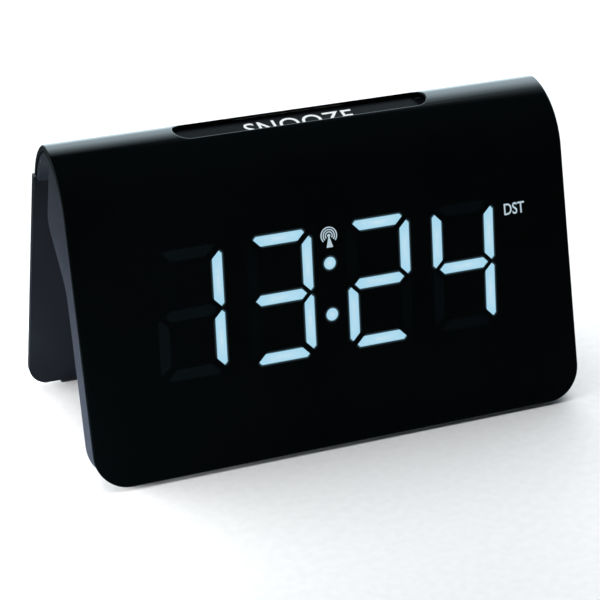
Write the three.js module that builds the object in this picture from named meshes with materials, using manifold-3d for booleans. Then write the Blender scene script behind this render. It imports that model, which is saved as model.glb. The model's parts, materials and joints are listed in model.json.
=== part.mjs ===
// Radio-controlled LED alarm clock with a folded, tent-shaped body.
// Millimetres, +Z up. X runs across the clock, the display faces -Y.
// The origin is on the ground, below the middle of the footprint.
import * as THREE from "three";
import { mergeVertices } from "three/addons/utils/BufferGeometryUtils.js";
import Module from "manifold-3d";

const wasm = await Module();
wasm.setup();

// ---- Driving dimensions -------------------------------------------------
const WIDTH = 172;
const PANEL_HEIGHT = 86.6; // straight part of the front cover, along its slope
const LEAN = 15.2; // lean of the front cover and of the rear leg, degrees
const COVER_THICKNESS = 2;
const CAVITY = 4.15; // clear depth inside the housing, in the thin lower part
const WALL = 2;
const GAP = 0.3; // between pieces that touch
const KEY_CLEARANCE = 0.35; // around a key in its hole
const LIFT = 1.2; // cover's lower edge above the ground
const FOOT_HEIGHT = 0.8;

const CROWN_FRONT_RADIUS = 24;
const CROWN_TOP_RADIUS = 6.5;
const CROWN_REAR_RADIUS = 21;
const CROWN_TOP_START = 84; // surface direction where the tight bend starts, degrees from upright
const CROWN_TOP_END = 120;
const COVER_TAIL = 0.6; // straight end of the cover behind the crown

const COVER_CORNER = 11.5;
const HOUSING_CORNER = 13;
const LEG_THICKNESS = 2.3;
const LEG_CORNER = 8.5;
const LEG_OVERHANG = 0.5; // leg wider than the cover, each side
const LEG_STEP = 0.6; // leg's outer face behind the cover's outer face

const SHELF_ANGLE = 41.5; // slope of the rear shelf that carries the keys
const SHELF_LENGTH = 22;

const DIGIT_HALF_HEIGHT = 19.1; // between segment centre lines
const DIGIT_WIDTH = 18.9;
const DIGIT_SLANT = 3.1;
const DIGIT_MIDDLE = 52.1; // middle segment's height up the panel
const DIGIT_INNER = 17.2; // centre of the two inner digits from the colon
const DIGIT_OUTER = 47.8;
const DISPLAY_SHIFT = -1.2; // colon's place across the panel
const SEGMENT_THICKNESS = 3.3;
const SEGMENT_SPACING = 1.4; // bare gap between neighbouring segments' tips
const DOT_RADIUS = 2;
const DOT_OFFSET = 8.4;

const SNOOZE_LENGTH = 88;
const SNOOZE_DEPTH = 9.5;
const SNOOZE_TILT = 14;
const SNOOZE_SINK = 1.3; // bar's rear edge below the recess's rear rim
const SNOOZE_FORWARD = 2.28; // bar's middle ahead of the crown's peak
const SNOOZE_TRAVEL = 1.2;
const KEY_TRAVEL = 0.7;
const KEY_PITCH = 15;
const KEY_WIDTH = 9;
const KEY_DEPTH = 5;
const CELL_RADIUS = 8;
const CELL_THICKNESS = 3.2;
const BOARD_THICKNESS = 1.1;
const DISPLAY_MARGIN = 5.6; // diffuser beyond the lit shapes
const WINDOW_CLEARANCE = 0.4;
const ICON = { x: -0.2, up: 68.6, width: 6, height: 6.2 };
const SAVING_SIGN = { x: 66.5, up: 68.2, width: 8.6, height: 5 };

// ---- Small helpers ------------------------------------------------------
const rad = THREE.MathUtils.degToRad;
const sinLean = Math.sin(rad(LEAN));
const cosLean = Math.cos(rad(LEAN));
const half = WIDTH / 2;

// Depths behind the cover's face: the housing's front face, its inside, and the rear cover's outside.
const FRONT_FACE = COVER_THICKNESS + GAP + 0.05;
const FRONT_INSIDE = FRONT_FACE + WALL;
const HOUSING_DEPTH = FRONT_INSIDE + CAVITY + WALL;

const FINISHES = {
  gloss: { color: 0x06080a, roughness: 0.06, metalness: 0 },
  shell: { color: 0x3a404b, roughness: 0.38, metalness: 0 },
  leg: { color: 0x14171b, roughness: 0.45, metalness: 0 },
  key: { color: 0x0b0c10, roughness: 0.35, metalness: 0 },
  white: { color: 0xe9eeee, roughness: 0.5, metalness: 0 },
  diffuser: { color: 0xdfeef5, roughness: 0.4, metalness: 0 },
  board: { color: 0x1d5a35, roughness: 0.5, metalness: 0 },
  chip: { color: 0x17181a, roughness: 0.55, metalness: 0 },
  steel: { color: 0xb9bcc0, roughness: 0.3, metalness: 1 },
  copper: { color: 0x9a4b25, roughness: 0.4, metalness: 1 },
  ferrite: { color: 0x2b2c2f, roughness: 0.7, metalness: 0 },
  rubber: { color: 0x1b1c1e, roughness: 0.8, metalness: 0 },
  ribbon: { color: 0xa7a9ac, roughness: 0.6, metalness: 0 },
};
const clock = new THREE.Group();

function solid(geometry) {
  const plain = geometry.clone();
  plain.deleteAttribute("normal");
  plain.deleteAttribute("uv");
  const merged = mergeVertices(plain, 1e-4);
  return new wasm.Manifold(
    new wasm.Mesh({
      numProp: 3,
      vertProperties: new Float32Array(merged.attributes.position.array),
      triVerts: new Uint32Array(merged.index.array),
    }),
  );
}

function add(name, body, finish) {
  const mesh = body.getMesh();
  const indexed = new THREE.BufferGeometry();
  indexed.setAttribute("position", new THREE.BufferAttribute(new Float32Array(mesh.vertProperties), 3));
  indexed.setIndex(new THREE.BufferAttribute(new Uint32Array(mesh.triVerts), 1));
  const geometry = indexed.toNonIndexed();
  geometry.computeVertexNormals();
  const node = new THREE.Mesh(geometry, new THREE.MeshStandardMaterial(FINISHES[finish]));
  node.name = name;
  clock.add(node);
  return node;
}

const joined = (bodies) => bodies.reduce((whole, body) => whole.add(body));
const without = (body, cuts) => cuts.reduce((rest, cut) => rest.subtract(cut), body);
const polygon = (points) => new THREE.Shape(points.map(([u, v]) => new THREE.Vector2(u, v)));

// A frame has its local z along a surface's outward normal and its local x along X.
function frame(y, z, normalY, normalZ) {
  const basis = new THREE.Matrix4().makeBasis(
    new THREE.Vector3(1, 0, 0),
    new THREE.Vector3(0, normalZ, -normalY),
    new THREE.Vector3(0, normalY, normalZ),
  );
  return basis.setPosition(0, y, z);
}

function box(where, x, y, z) {
  const geometry = new THREE.BoxGeometry(x[1] - x[0], y[1] - y[0], z[1] - z[0]);
  geometry.translate((x[0] + x[1]) / 2, (y[0] + y[1]) / 2, (z[0] + z[1]) / 2);
  return solid(geometry.applyMatrix4(where));
}

function cylinder(where, x, y, radius, z, sides = 24) {
  const geometry = new THREE.CylinderGeometry(radius, radius, z[1] - z[0], sides);
  geometry.rotateX(Math.PI / 2);
  geometry.translate(x, y, (z[0] + z[1]) / 2);
  return solid(geometry.applyMatrix4(where));
}

function prism(where, shape, z, curveSegments = 6) {
  const geometry = new THREE.ExtrudeGeometry(shape, {
    depth: z[1] - z[0],
    bevelEnabled: false,
    curveSegments,
  });
  geometry.translate(0, 0, z[0]);
  return solid(geometry.applyMatrix4(where));
}

function roundedRectangle(x0, x1, y0, y1, radius) {
  const shape = new THREE.Shape();
  shape.moveTo(x0 + radius, y0);
  shape.lineTo(x1 - radius, y0);
  shape.absarc(x1 - radius, y0 + radius, radius, -Math.PI / 2, 0, false);
  shape.lineTo(x1, y1 - radius);
  shape.absarc(x1 - radius, y1 - radius, radius, 0, Math.PI / 2, false);
  shape.lineTo(x0 + radius, y1);
  shape.absarc(x0 + radius, y1 - radius, radius, Math.PI / 2, Math.PI, false);
  shape.lineTo(x0, y0 + radius);
  shape.absarc(x0 + radius, y0 + radius, radius, Math.PI, Math.PI * 1.5, false);
  return shape;
}

// A side profile, given as points (y, z), extruded along X.
const alongX = new THREE.Matrix4().makeBasis(
  new THREE.Vector3(0, 1, 0),
  new THREE.Vector3(0, 0, 1),
  new THREE.Vector3(1, 0, 0),
);
const profileBody = (points, x) => prism(alongX, polygon(points), x);

// ---- Side profile -------------------------------------------------------
// Heights are measured from the cover's lower front edge. The profile starts there, climbs the front,
// bends over the crown and comes down behind it. An offset curve lies that far inside the outer face.
const CROWN_BENDS = [
  { radius: CROWN_FRONT_RADIUS, to: CROWN_TOP_START, steps: 10 },
  { radius: CROWN_TOP_RADIUS, to: CROWN_TOP_END, steps: 4 },
  { radius: CROWN_REAR_RADIUS, to: 180 - LEAN, steps: 6 },
];

function crownCurve(offset, tail) {
  const inward = (angle) => [Math.cos(rad(angle)) * offset, -Math.sin(rad(angle)) * offset];
  const points = [inward(LEAN)];
  let y = PANEL_HEIGHT * sinLean;
  let z = PANEL_HEIGHT * cosLean;
  let angle = LEAN;
  points.push([y + inward(angle)[0], z + inward(angle)[1]]);
  for (const bend of CROWN_BENDS) {
    const centreY = y + bend.radius * Math.cos(rad(angle));
    const centreZ = z - bend.radius * Math.sin(rad(angle));
    for (let step = 1; step <= bend.steps; step++) {
      const turned = angle + ((bend.to - angle) * step) / bend.steps;
      const reach = bend.radius - offset;
      points.push([centreY - reach * Math.cos(rad(turned)), centreZ + reach * Math.sin(rad(turned))]);
    }
    angle = bend.to;
    y = centreY - bend.radius * Math.cos(rad(angle));
    z = centreZ + bend.radius * Math.sin(rad(angle));
  }
  points.push([y + tail * sinLean + inward(angle)[0], z - tail * cosLean + inward(angle)[1]]);
  return points;
}

const outerCurve = crownCurve(0, 0);
const crownEnd = outerCurve[outerCurve.length - 1];
const crownTop = Math.max(...outerCurve.map(([, z]) => z));

// ---- Frames of reference ------------------------------------------------
const level = new THREE.Matrix4();
// Seen from the front: local x to the right, local y up the panel, local z out of the cover's face.
const panel = new THREE.Matrix4().makeBasis(
  new THREE.Vector3(1, 0, 0),
  new THREE.Vector3(0, sinLean, cosLean),
  new THREE.Vector3(0, -cosLean, sinLean),
);
const panelPoint = (up, depth) => [
  up * sinLean + depth * cosLean,
  up * cosLean - depth * sinLean,
];

const SHELF_BELOW_CROWN = 23.1; // shelf's bend, down from the top of the flat panel
const SHELF_UP = PANEL_HEIGHT - SHELF_BELOW_CROWN;
const SHELF_START = panelPoint(SHELF_UP, HOUSING_DEPTH - 0.3);
const shelfSin = Math.sin(rad(SHELF_ANGLE));
const shelfCos = Math.cos(rad(SHELF_ANGLE));
const SHELF_END = [SHELF_START[0] + SHELF_LENGTH * shelfCos, SHELF_START[1] + SHELF_LENGTH * shelfSin];
const shelfMiddle = [(SHELF_START[0] + SHELF_END[0]) / 2, (SHELF_START[1] + SHELF_END[1]) / 2];
const shelf = frame(shelfMiddle[0], shelfMiddle[1], shelfSin, -shelfCos);

const UPPER_START = [SHELF_END[0] + 1.8, SHELF_END[1] + 3.6];
const upperLength = 14;
const upperMiddle = [
  UPPER_START[0] - (upperLength / 2) * sinLean,
  UPPER_START[1] + (upperLength / 2) * cosLean,
];
const upperWall = frame(upperMiddle[0], upperMiddle[1], cosLean, sinLean);
const legFrame = frame(
  crownEnd[0] + LEG_STEP * cosLean,
  crownEnd[1] + LEG_STEP * sinLean,
  cosLean,
  sinLean,
);

// Height of the crown's offset curve at a depth y, for y between the two shoulders.
function crownHeight(offset, y) {
  const curve = crownCurve(offset, 0).slice(1);
  const next = curve.findIndex(([at]) => at > y);
  const [y0, z0] = curve[next - 1];
  const [y1, z1] = curve[next];
  return z0 + ((z1 - z0) * (y - y0)) / (y1 - y0);
}

const crossing = ([y0, z0], [dy0, dz0], [y1, z1], [dy1, dz1]) => {
  const along = ((y1 - y0) * dz1 - (z1 - z0) * dy1) / (dy0 * dz1 - dz0 * dy1);
  return [y0 + along * dy0, z0 + along * dz0];
};

function bend(from, corner, to, steps) {
  const curve = new THREE.QuadraticBezierCurve(
    new THREE.Vector2(...from),
    new THREE.Vector2(...corner),
    new THREE.Vector2(...to),
  );
  return curve.getPoints(steps).map((point) => [point.x, point.y]);
}

// Rear wall of the housing from a level floor up to the crown's offset curve, set in by a distance.
function rearCurve(inset, floor, coverOffset) {
  const lower = (up) => panelPoint(up, HOUSING_DEPTH - inset);
  const onShelf = (along) => [
    SHELF_START[0] - inset * shelfSin + along * shelfCos,
    SHELF_START[1] + inset * shelfCos + along * shelfSin,
  ];
  const upper = (along) => [
    UPPER_START[0] - inset * cosLean - along * sinLean,
    UPPER_START[1] - inset * sinLean + along * cosLean,
  ];
  const first = crossing(lower(0), [sinLean, cosLean], onShelf(0), [shelfCos, shelfSin]);
  const second = crossing(onShelf(0), [shelfCos, shelfSin], upper(0), [-sinLean, cosLean]);
  let reach = 20;
  for (let pass = 0; pass < 8; pass++) {
    reach += (crownHeight(coverOffset, upper(reach)[0]) - upper(reach)[1]) / cosLean;
  }
  return [
    lower((floor + (HOUSING_DEPTH - inset) * sinLean) / cosLean),
    ...bend(lower(SHELF_UP - 5), first, onShelf(4.5), 4),
    ...bend(onShelf(SHELF_LENGTH - 2), second, upper(2), 4),
    upper(reach),
  ];
}

// The space between the cover and the rear wall, set in from both, above a level floor.
function chamber(coverOffset, rearInset, floor, halfWidth) {
  const rear = rearCurve(rearInset, floor, coverOffset);
  const rearTop = rear[rear.length - 1][0];
  const start = panelPoint((floor + coverOffset * sinLean) / cosLean, coverOffset);
  const front = crownCurve(coverOffset, 0).slice(1).filter(([y]) => y < rearTop - 0.3);
  return profileBody([start, ...front, ...rear.reverse()], [-halfWidth, halfWidth]);
}

// The space under the crown between two depths, above a level floor.
function underCrown(offset, y, floor, halfWidth) {
  const inside = crownCurve(offset, 0).slice(1, -1).filter(([at]) => at > y[0] + 0.2 && at < y[1] - 0.2);
  const points = [
    [y[0], floor],
    [y[0], crownHeight(offset, y[0])],
    ...inside,
    [y[1], crownHeight(offset, y[1])],
    [y[1], floor],
  ];
  return profileBody(points, [-halfWidth, halfWidth]);
}

// What lies outside the rounded lower corners of a plate this wide.
function outsideCorners(halfWidth, radius) {
  const shape = new THREE.Shape();
  shape.moveTo(-halfWidth - 2, -6);
  shape.lineTo(halfWidth + 2, -6);
  shape.lineTo(halfWidth + 2, radius);
  shape.lineTo(halfWidth, radius);
  shape.absarc(halfWidth - radius, radius, radius, 0, -Math.PI / 2, true);
  shape.absarc(-halfWidth + radius, radius, radius, -Math.PI / 2, -Math.PI, true);
  shape.lineTo(-halfWidth - 2, radius);
  return prism(panel, shape, [-HOUSING_DEPTH - 8, 5], 6);
}

const stadium = (length, depth) =>
  roundedRectangle(-length / 2, length / 2, -depth / 2, depth / 2, depth / 2 - 0.01);

// ---- Front cover and housing --------------------------------------------
const crownPeak = outerCurve.find(([, z]) => z === crownTop)[0];
const SNOOZE_MIDDLE = crownPeak - SNOOZE_FORWARD;
const overSnooze = new THREE.Matrix4().makeTranslation(0, SNOOZE_MIDDLE, 0);
const HOUSING_HALF = half - GAP;
const INNER_HALF = HOUSING_HALF - WALL;
const FLOOR_BELOW = -LIFT + FOOT_HEIGHT + 0.2;
const FLOOR_ABOVE = FLOOR_BELOW + WALL;

const FLANGE = 1.2;
const FLANGE_THICKNESS = 1.5;
// The flange rides just under the hood, which is lowest over the flange's front edge.
const flangeFront = SNOOZE_MIDDLE - SNOOZE_DEPTH / 2 - FLANGE;
const flangeRear = SNOOZE_MIDDLE + SNOOZE_DEPTH / 2 + FLANGE;
const overFlange = (y) => crownHeight(FRONT_INSIDE, y);
const HOOD_CLEARANCE = 0.44;
const hoodLow = Math.min(overFlange(flangeFront), overFlange(flangeRear));
const FLANGE_BOTTOM = hoodLow - FLANGE_THICKNESS - HOOD_CLEARANCE;
const WELL_WALL = 1.6;
const WELL_HALF = SNOOZE_LENGTH / 2 + FLANGE + KEY_CLEARANCE + WELL_WALL;
const WELL_REAR = SNOOZE_MIDDLE + SNOOZE_DEPTH / 2 + FLANGE + KEY_CLEARANCE + WELL_WALL;
const WELL_FLOOR = FLANGE_BOTTOM - 6.7;

// Places measured in from the ends of the clock.
const SHELF_SCREW_X = half - 7;
const LOWER_SCREW = { x: half - 10, up: 14 };
const legScrewX = half - 22;
const LEG_SCREW = { x: [-legScrewX, -28, 28, legScrewX], down: 6 };

// The lit area: everything that shines, and a margin round it.
const litSide = DIGIT_OUTER + DIGIT_WIDTH / 2;
const litHeight = DIGIT_HALF_HEIGHT + SEGMENT_THICKNESS / 2;
const DISPLAY = {
  x: [DISPLAY_SHIFT - litSide - DISPLAY_MARGIN, SAVING_SIGN.x + SAVING_SIGN.width / 2 + 1.2],
  up: [DIGIT_MIDDLE - litHeight - 4.4, DIGIT_MIDDLE + litHeight + 4.2],
};
const grown = ([low, high], by) => [low - by, high + by];
const TAB = { halfWidth: 5.5, top: -1, bottom: 10, thickness: 2.4 };
const TAB_FACE = -LEG_STEP - FRONT_FACE; // flush with the hood's outer face

const panelCut = (x, up, depth) => box(panel, x, up, [-depth[1], -depth[0]]);

function frontCover() {
  const outer = crownCurve(0, COVER_TAIL);
  const inner = crownCurve(COVER_THICKNESS, COVER_TAIL);
  const sheet = profileBody([...outer, ...inner.reverse()], [-half, half]);
  const recess = prism(overSnooze, stadium(SNOOZE_LENGTH, SNOOZE_DEPTH), [crownTop - 14, crownTop + 5]);
  return without(sheet, [recess, outsideCorners(half, COVER_CORNER)]);
}

function screwBosses() {
  const bosses = [];
  const bores = [];
  for (const side of [-1, 1]) {
    bosses.push(cylinder(shelf, side * SHELF_SCREW_X, 0, 2.8, [-14, -WALL - GAP], 12));
    const web = [SHELF_SCREW_X, HOUSING_HALF - 1];
    bosses.push(box(shelf, side > 0 ? web : [-web[1], -web[0]], [-1, 1], [-13, -WALL - GAP]));
    bores.push(cylinder(shelf, side * SHELF_SCREW_X, 0, 1.25, [-10, 0], 8));
    const depth = [-HOUSING_DEPTH + WALL + GAP, -FRONT_FACE - 1];
    bosses.push(cylinder(panel, side * LOWER_SCREW.x, LOWER_SCREW.up, 2.8, depth, 12));
    bores.push(cylinder(panel, side * LOWER_SCREW.x, LOWER_SCREW.up, 1.25, [-HOUSING_DEPTH, -4], 8));
  }
  return { bosses, bores };
}

function housing() {
  const outer = crownCurve(FRONT_FACE, COVER_TAIL);
  const inner = crownCurve(FRONT_INSIDE, COVER_TAIL);
  const hood = profileBody([...outer, ...inner.reverse()], [-HOUSING_HALF, HOUSING_HALF]);
  const body = chamber(FRONT_FACE + 1, 0, FLOOR_BELOW, HOUSING_HALF);
  const hollow = chamber(FRONT_INSIDE, -1.5, FLOOR_ABOVE, INNER_HALF);
  const wellOuter = underCrown(FRONT_FACE + 1, [UPPER_START[0] - 4, WELL_REAR], WELL_FLOOR, WELL_HALF);
  const wellDepth = [SNOOZE_MIDDLE - 3, WELL_REAR - WELL_WALL];
  const wellInner = underCrown(FRONT_INSIDE, wellDepth, WELL_FLOOR + WELL_WALL, WELL_HALF - WELL_WALL);
  const { bosses, bores } = screwBosses();
  const tabs = LEG_SCREW.x.map((x) =>
    box(
      legFrame,
      [x - TAB.halfWidth, x + TAB.halfWidth],
      [TAB.top, TAB.bottom],
      [TAB_FACE - TAB.thickness, TAB_FACE],
    ),
  );
  const tabBores = LEG_SCREW.x.map((x) => cylinder(legFrame, x, LEG_SCREW.down, 1.25, [-12, 0], 8));
  const posts = [-24, 24].map((x) =>
    box(
      level,
      [x - 3, x + 3],
      [WELL_REAR - 8, WELL_REAR - WELL_WALL + 0.5],
      [WELL_FLOOR + 1, SNOOZE_BOARD_BOTTOM - GAP],
    ),
  );
  const opening = prism(
    overSnooze,
    stadium(SNOOZE_LENGTH + 0.2, SNOOZE_DEPTH + 0.2),
    [crownTop - 9, crownTop + 5],
  );
  const below = box(level, [-half, half], [-5, 30], [-10, FLOOR_BELOW]);
  const shell = without(joined([hood, body]), [hollow]);
  const withWell = without(joined([shell, wellOuter]), [wellInner]);
  return without(joined([withWell, ...bosses, ...tabs, ...posts]), [
    ...bores,
    ...tabBores,
    opening,
    below,
    panelCut(
      grown(DISPLAY.x, WINDOW_CLEARANCE),
      grown(DISPLAY.up, WINDOW_CLEARANCE),
      [FRONT_FACE - 1, FRONT_INSIDE + 0.5],
    ),
    outsideCorners(HOUSING_HALF, HOUSING_CORNER),
  ]);
}

// ---- Rear cover ---------------------------------------------------------
const KEYS = ["key_time", "key_alarm", "key_plus", "key_minus", "key_wave", "key_dimmer"];
const KEY_ROW = -3; // the row's place across the shelf, towards its upper edge
const keyX = (index) => (index - (KEYS.length - 1) / 2) * KEY_PITCH;
const ALARM_SWITCH_X = (keyX(KEYS.length - 1) + SHELF_SCREW_X) / 2 - 2.25;
const ALARM_SWITCH_TRAVEL = 3;
const JACK_X = 16.5 - half;
const BUZZER = { x: half - 20, radius: 6, thickness: 3 };
const CELL = { x: half - 41, up: 16 };
const CAP_RADIUS = CELL_RADIUS + 0.6;
const CAP_PLUG = 1.2; // how far the battery cap reaches into the wall

function rearCover() {
  const floor = FLOOR_ABOVE + GAP;
  const top = FRONT_INSIDE + GAP + 0.05;
  const strip = profileBody(
    [...rearCurve(0, floor, top), ...rearCurve(WALL, floor, top).reverse()],
    [-INNER_HALF + GAP, INNER_HALF - GAP],
  );
  const cuts = [
    box(
      level,
      [-WELL_HALF - GAP, WELL_HALF + GAP],
      [flangeFront - 8, flangeRear + 8],
      [WELL_FLOOR - GAP, crownTop],
    ),
    outsideCorners(INNER_HALF - GAP, HOUSING_CORNER - WALL),
    cylinder(shelf, JACK_X, KEY_ROW, 3.4, [-WALL - 1, 1]),
    cylinder(panel, CELL.x, CELL.up, CAP_RADIUS + 0.4, [-HOUSING_DEPTH - 1, -HOUSING_DEPTH + WALL + 1], 32),
  ];
  KEYS.forEach((name, index) => {
    cuts.push(prism(shelf, keyOutline(keyX(index), KEY_CLEARANCE), [-WALL - 1, 1], 3));
  });
  const slotHalf = [2 + KEY_CLEARANCE, 2 + KEY_CLEARANCE + ALARM_SWITCH_TRAVEL];
  const slotX = [ALARM_SWITCH_X - slotHalf[0], ALARM_SWITCH_X + slotHalf[1]];
  cuts.push(box(shelf, slotX, [KEY_ROW - 1.9, KEY_ROW + 1.9], [-WALL - 1, 1]));
  for (const slot of [-3, 0, 3]) {
    cuts.push(box(upperWall, [BUZZER.x - 4, BUZZER.x + 4], [slot - 0.6, slot + 0.6], [-WALL - 1, 1]));
  }
  for (const side of [-1, 1]) {
    const depth = -HOUSING_DEPTH;
    cuts.push(cylinder(shelf, side * SHELF_SCREW_X, 0, 1.4, [-WALL - 1, 1], 8));
    cuts.push(cylinder(shelf, side * SHELF_SCREW_X, 0, 2.5, [-1, 1], 12));
    cuts.push(cylinder(panel, side * LOWER_SCREW.x, LOWER_SCREW.up, 1.4, [depth - 1, depth + WALL + 1], 8));
    cuts.push(cylinder(panel, side * LOWER_SCREW.x, LOWER_SCREW.up, 2.5, [depth - 1, depth + 1], 12));
  }
  return without(strip, cuts);
}

// ---- Rear leg and feet --------------------------------------------------
const legBottom = (crownEnd[1] + LEG_STEP * sinLean + LIFT - FOOT_HEIGHT - GAP) / cosLean;
const FOOT_X = half - 14;

function rearLeg() {
  const outline = roundedRectangle(
    -half - LEG_OVERHANG,
    half + LEG_OVERHANG,
    COVER_TAIL + GAP,
    legBottom,
    LEG_CORNER,
  );
  const squareTop = box(
    legFrame,
    [-half - LEG_OVERHANG, half + LEG_OVERHANG],
    [COVER_TAIL + GAP, COVER_TAIL + GAP + LEG_CORNER],
    [-LEG_THICKNESS, 0],
  );
  const plate = joined([prism(legFrame, outline, [-LEG_THICKNESS, 0], 6), squareTop]);
  const cuts = [box(level, [-half - 2, half + 2], [crownEnd[0], crownEnd[0] + 60], [-10, FLOOR_BELOW])];
  for (const x of LEG_SCREW.x) {
    cuts.push(cylinder(legFrame, x, LEG_SCREW.down, 1.3, [-LEG_THICKNESS - 1, 1], 8));
    cuts.push(cylinder(legFrame, x, LEG_SCREW.down, 2.5, [-1, 1], 12));
  }
  return without(plate, cuts);
}

function feet() {
  const height = [-LIFT, FLOOR_BELOW - GAP];
  const legY = crownEnd[0] + LEG_STEP * cosLean + legBottom * sinLean;
  for (const [name, side] of [["left", -1], ["right", 1]]) {
    const across = (width) => [side * FOOT_X - width / 2, side * FOOT_X + width / 2];
    add(`foot_front_${name}`, box(level, across(14), [3.4, 9.4], height), "rubber");
    add(`foot_rear_${name}`, box(level, across(6), [legY - 2.6, legY - 0.4], height), "rubber");
  }
}

// A slotted pan-head screw; its head's top is at local z.
function screw(where, x, y, z, length) {
  const head = cylinder(where, x, y, 2.1, [z - 1.1, z], 12);
  const shank = cylinder(where, x, y, 0.9, [z - length, z - 1], 8);
  return without(joined([head, shank]), [
    box(where, [x - 1.3, x + 1.3], [y - 0.3, y + 0.3], [z - 0.5, z + 1]),
  ]);
}

// The panel's frame turned to look out of the rear wall.
const rearWall = frame(...panelPoint(0, HOUSING_DEPTH), cosLean, -sinLean);

function screws() {
  for (const [name, side] of [["left", -1], ["right", 1]]) {
    add(`screw_shelf_${name}`, screw(shelf, side * SHELF_SCREW_X, 0, 0.4, 8), "steel");
    add(`screw_lower_${name}`, screw(rearWall, side * LOWER_SCREW.x, -LOWER_SCREW.up, 0.4, 6.5), "steel");
  }
  LEG_SCREW.x.forEach((x, index) => {
    add(`screw_leg_${index + 1}`, screw(legFrame, x, LEG_SCREW.down, 0.4, 5.4), "steel");
  });
}

// ---- Controls -----------------------------------------------------------
function keyOutline(x, clearance) {
  const reachX = KEY_WIDTH / 2 + clearance;
  const reachY = KEY_DEPTH / 2 + clearance;
  return roundedRectangle(x - reachX, x + reachX, KEY_ROW - reachY, KEY_ROW + reachY, 1.4 + clearance);
}

const KEY_FLANGE = 0.9;
const KEY_BOTTOM = -WALL - GAP - 1.1;
const SWITCH_TOP = KEY_BOTTOM - KEY_TRAVEL - 0.2;
const KEY_BOARD_TOP = SWITCH_TOP - 2.2;

function keys() {
  KEYS.forEach((name, index) => {
    const x = keyX(index);
    const cap = prism(shelf, keyOutline(x, 0), [KEY_BOTTOM, 0.9], 3);
    const flange = box(
      shelf,
      [x - KEY_WIDTH / 2 - KEY_FLANGE, x + KEY_WIDTH / 2 + KEY_FLANGE],
      [KEY_ROW - KEY_DEPTH / 2 - KEY_FLANGE, KEY_ROW + KEY_DEPTH / 2 + KEY_FLANGE],
      [KEY_BOTTOM, -WALL - GAP],
    );
    add(name, joined([cap, flange]), "key");
    const bodyUp = [KEY_BOARD_TOP + GAP, SWITCH_TOP - 0.7];
    const body = box(shelf, [x - 3, x + 3], [KEY_ROW - 1.9, KEY_ROW + 1.9], bodyUp);
    const stem = cylinder(shelf, x, KEY_ROW, 0.9, [SWITCH_TOP - 1, SWITCH_TOP], 8);
    add(`switch_${name.slice(4)}`, joined([body, stem]), "chip");
  });
  const boardX = [keyX(0) - 6.5, ALARM_SWITCH_X + 7];
  const boardY = [KEY_ROW - 3, KEY_ROW + 4.5];
  add("key_board", box(shelf, boardX, boardY, [KEY_BOARD_TOP - BOARD_THICKNESS, KEY_BOARD_TOP]), "board");
}

function alarmSwitch() {
  const middle = ALARM_SWITCH_X + ALARM_SWITCH_TRAVEL / 2;
  const bodyTop = -WALL - 2 * GAP - 0.3;
  const bodyY = [KEY_ROW - 2.6, KEY_ROW + 2.6];
  const body = box(shelf, [middle - 5, middle + 5], bodyY, [KEY_BOARD_TOP + GAP, bodyTop]);
  add("alarm_switch_body", body, "steel");
  const x = [ALARM_SWITCH_X - 2, ALARM_SWITCH_X + 2];
  const knob = box(shelf, x, [KEY_ROW - 1.5, KEY_ROW + 1.5], [bodyTop + GAP, 1.2]);
  const grip = box(shelf, [ALARM_SWITCH_X - 0.5, ALARM_SWITCH_X + 0.5], [KEY_ROW - 2, KEY_ROW + 2], [0.8, 2]);
  add("alarm_switch_knob", without(knob, [grip]), "key");
}

function dcJack() {
  const body = box(shelf, [JACK_X - 4.5, JACK_X + 4.5], [KEY_ROW - 4.5, KEY_ROW + 4.5], [-12, -WALL - GAP]);
  const barrel = cylinder(shelf, JACK_X, KEY_ROW, 3, [-4, -0.3]);
  const bore = cylinder(shelf, JACK_X, KEY_ROW, 2.2, [-10, 0]);
  const pin = cylinder(shelf, JACK_X, KEY_ROW, 0.75, [-11, -1.5], 12);
  add("dc_jack", joined([without(joined([body, barrel]), [bore]), pin]), "chip");
}

function backupCell() {
  const { x, up } = CELL;
  const y = -up;
  const wallInside = -WALL - GAP;
  const cellTop = -CAP_PLUG - GAP;
  const cellBottom = cellTop - CELL_THICKNESS;
  const trayBottom = FRONT_INSIDE + GAP - HOUSING_DEPTH;
  const tray = cylinder(rearWall, x, y, CELL_RADIUS + 1.4, [trayBottom, wallInside], 32);
  const pocket = cylinder(rearWall, x, y, CELL_RADIUS + GAP, [cellBottom - GAP, 1], 32);
  add("cell_holder", without(tray, [pocket]), "chip");
  add("coin_cell", cylinder(rearWall, x, y, CELL_RADIUS, [cellBottom, cellTop], 32), "steel");
  const plug = cylinder(rearWall, x, y, CAP_RADIUS, [-CAP_PLUG, 0.6], 32);
  const rim = cylinder(rearWall, x, y, CAP_RADIUS + 1.5, [GAP, 1.2], 32);
  const coinSlot = box(rearWall, [x - 6.5, x + 6.5], [y - 0.8, y + 0.8], [0.6, 2]);
  add("battery_cap", without(joined([plug, rim]), [coinSlot]), "key");
}

// ---- Snooze bar ---------------------------------------------------------
const SNOOZE_BOARD_BOTTOM = WELL_FLOOR + WELL_WALL + 0.6;
const SNOOZE_BOARD_TOP = SNOOZE_BOARD_BOTTOM + BOARD_THICKNESS;

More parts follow.
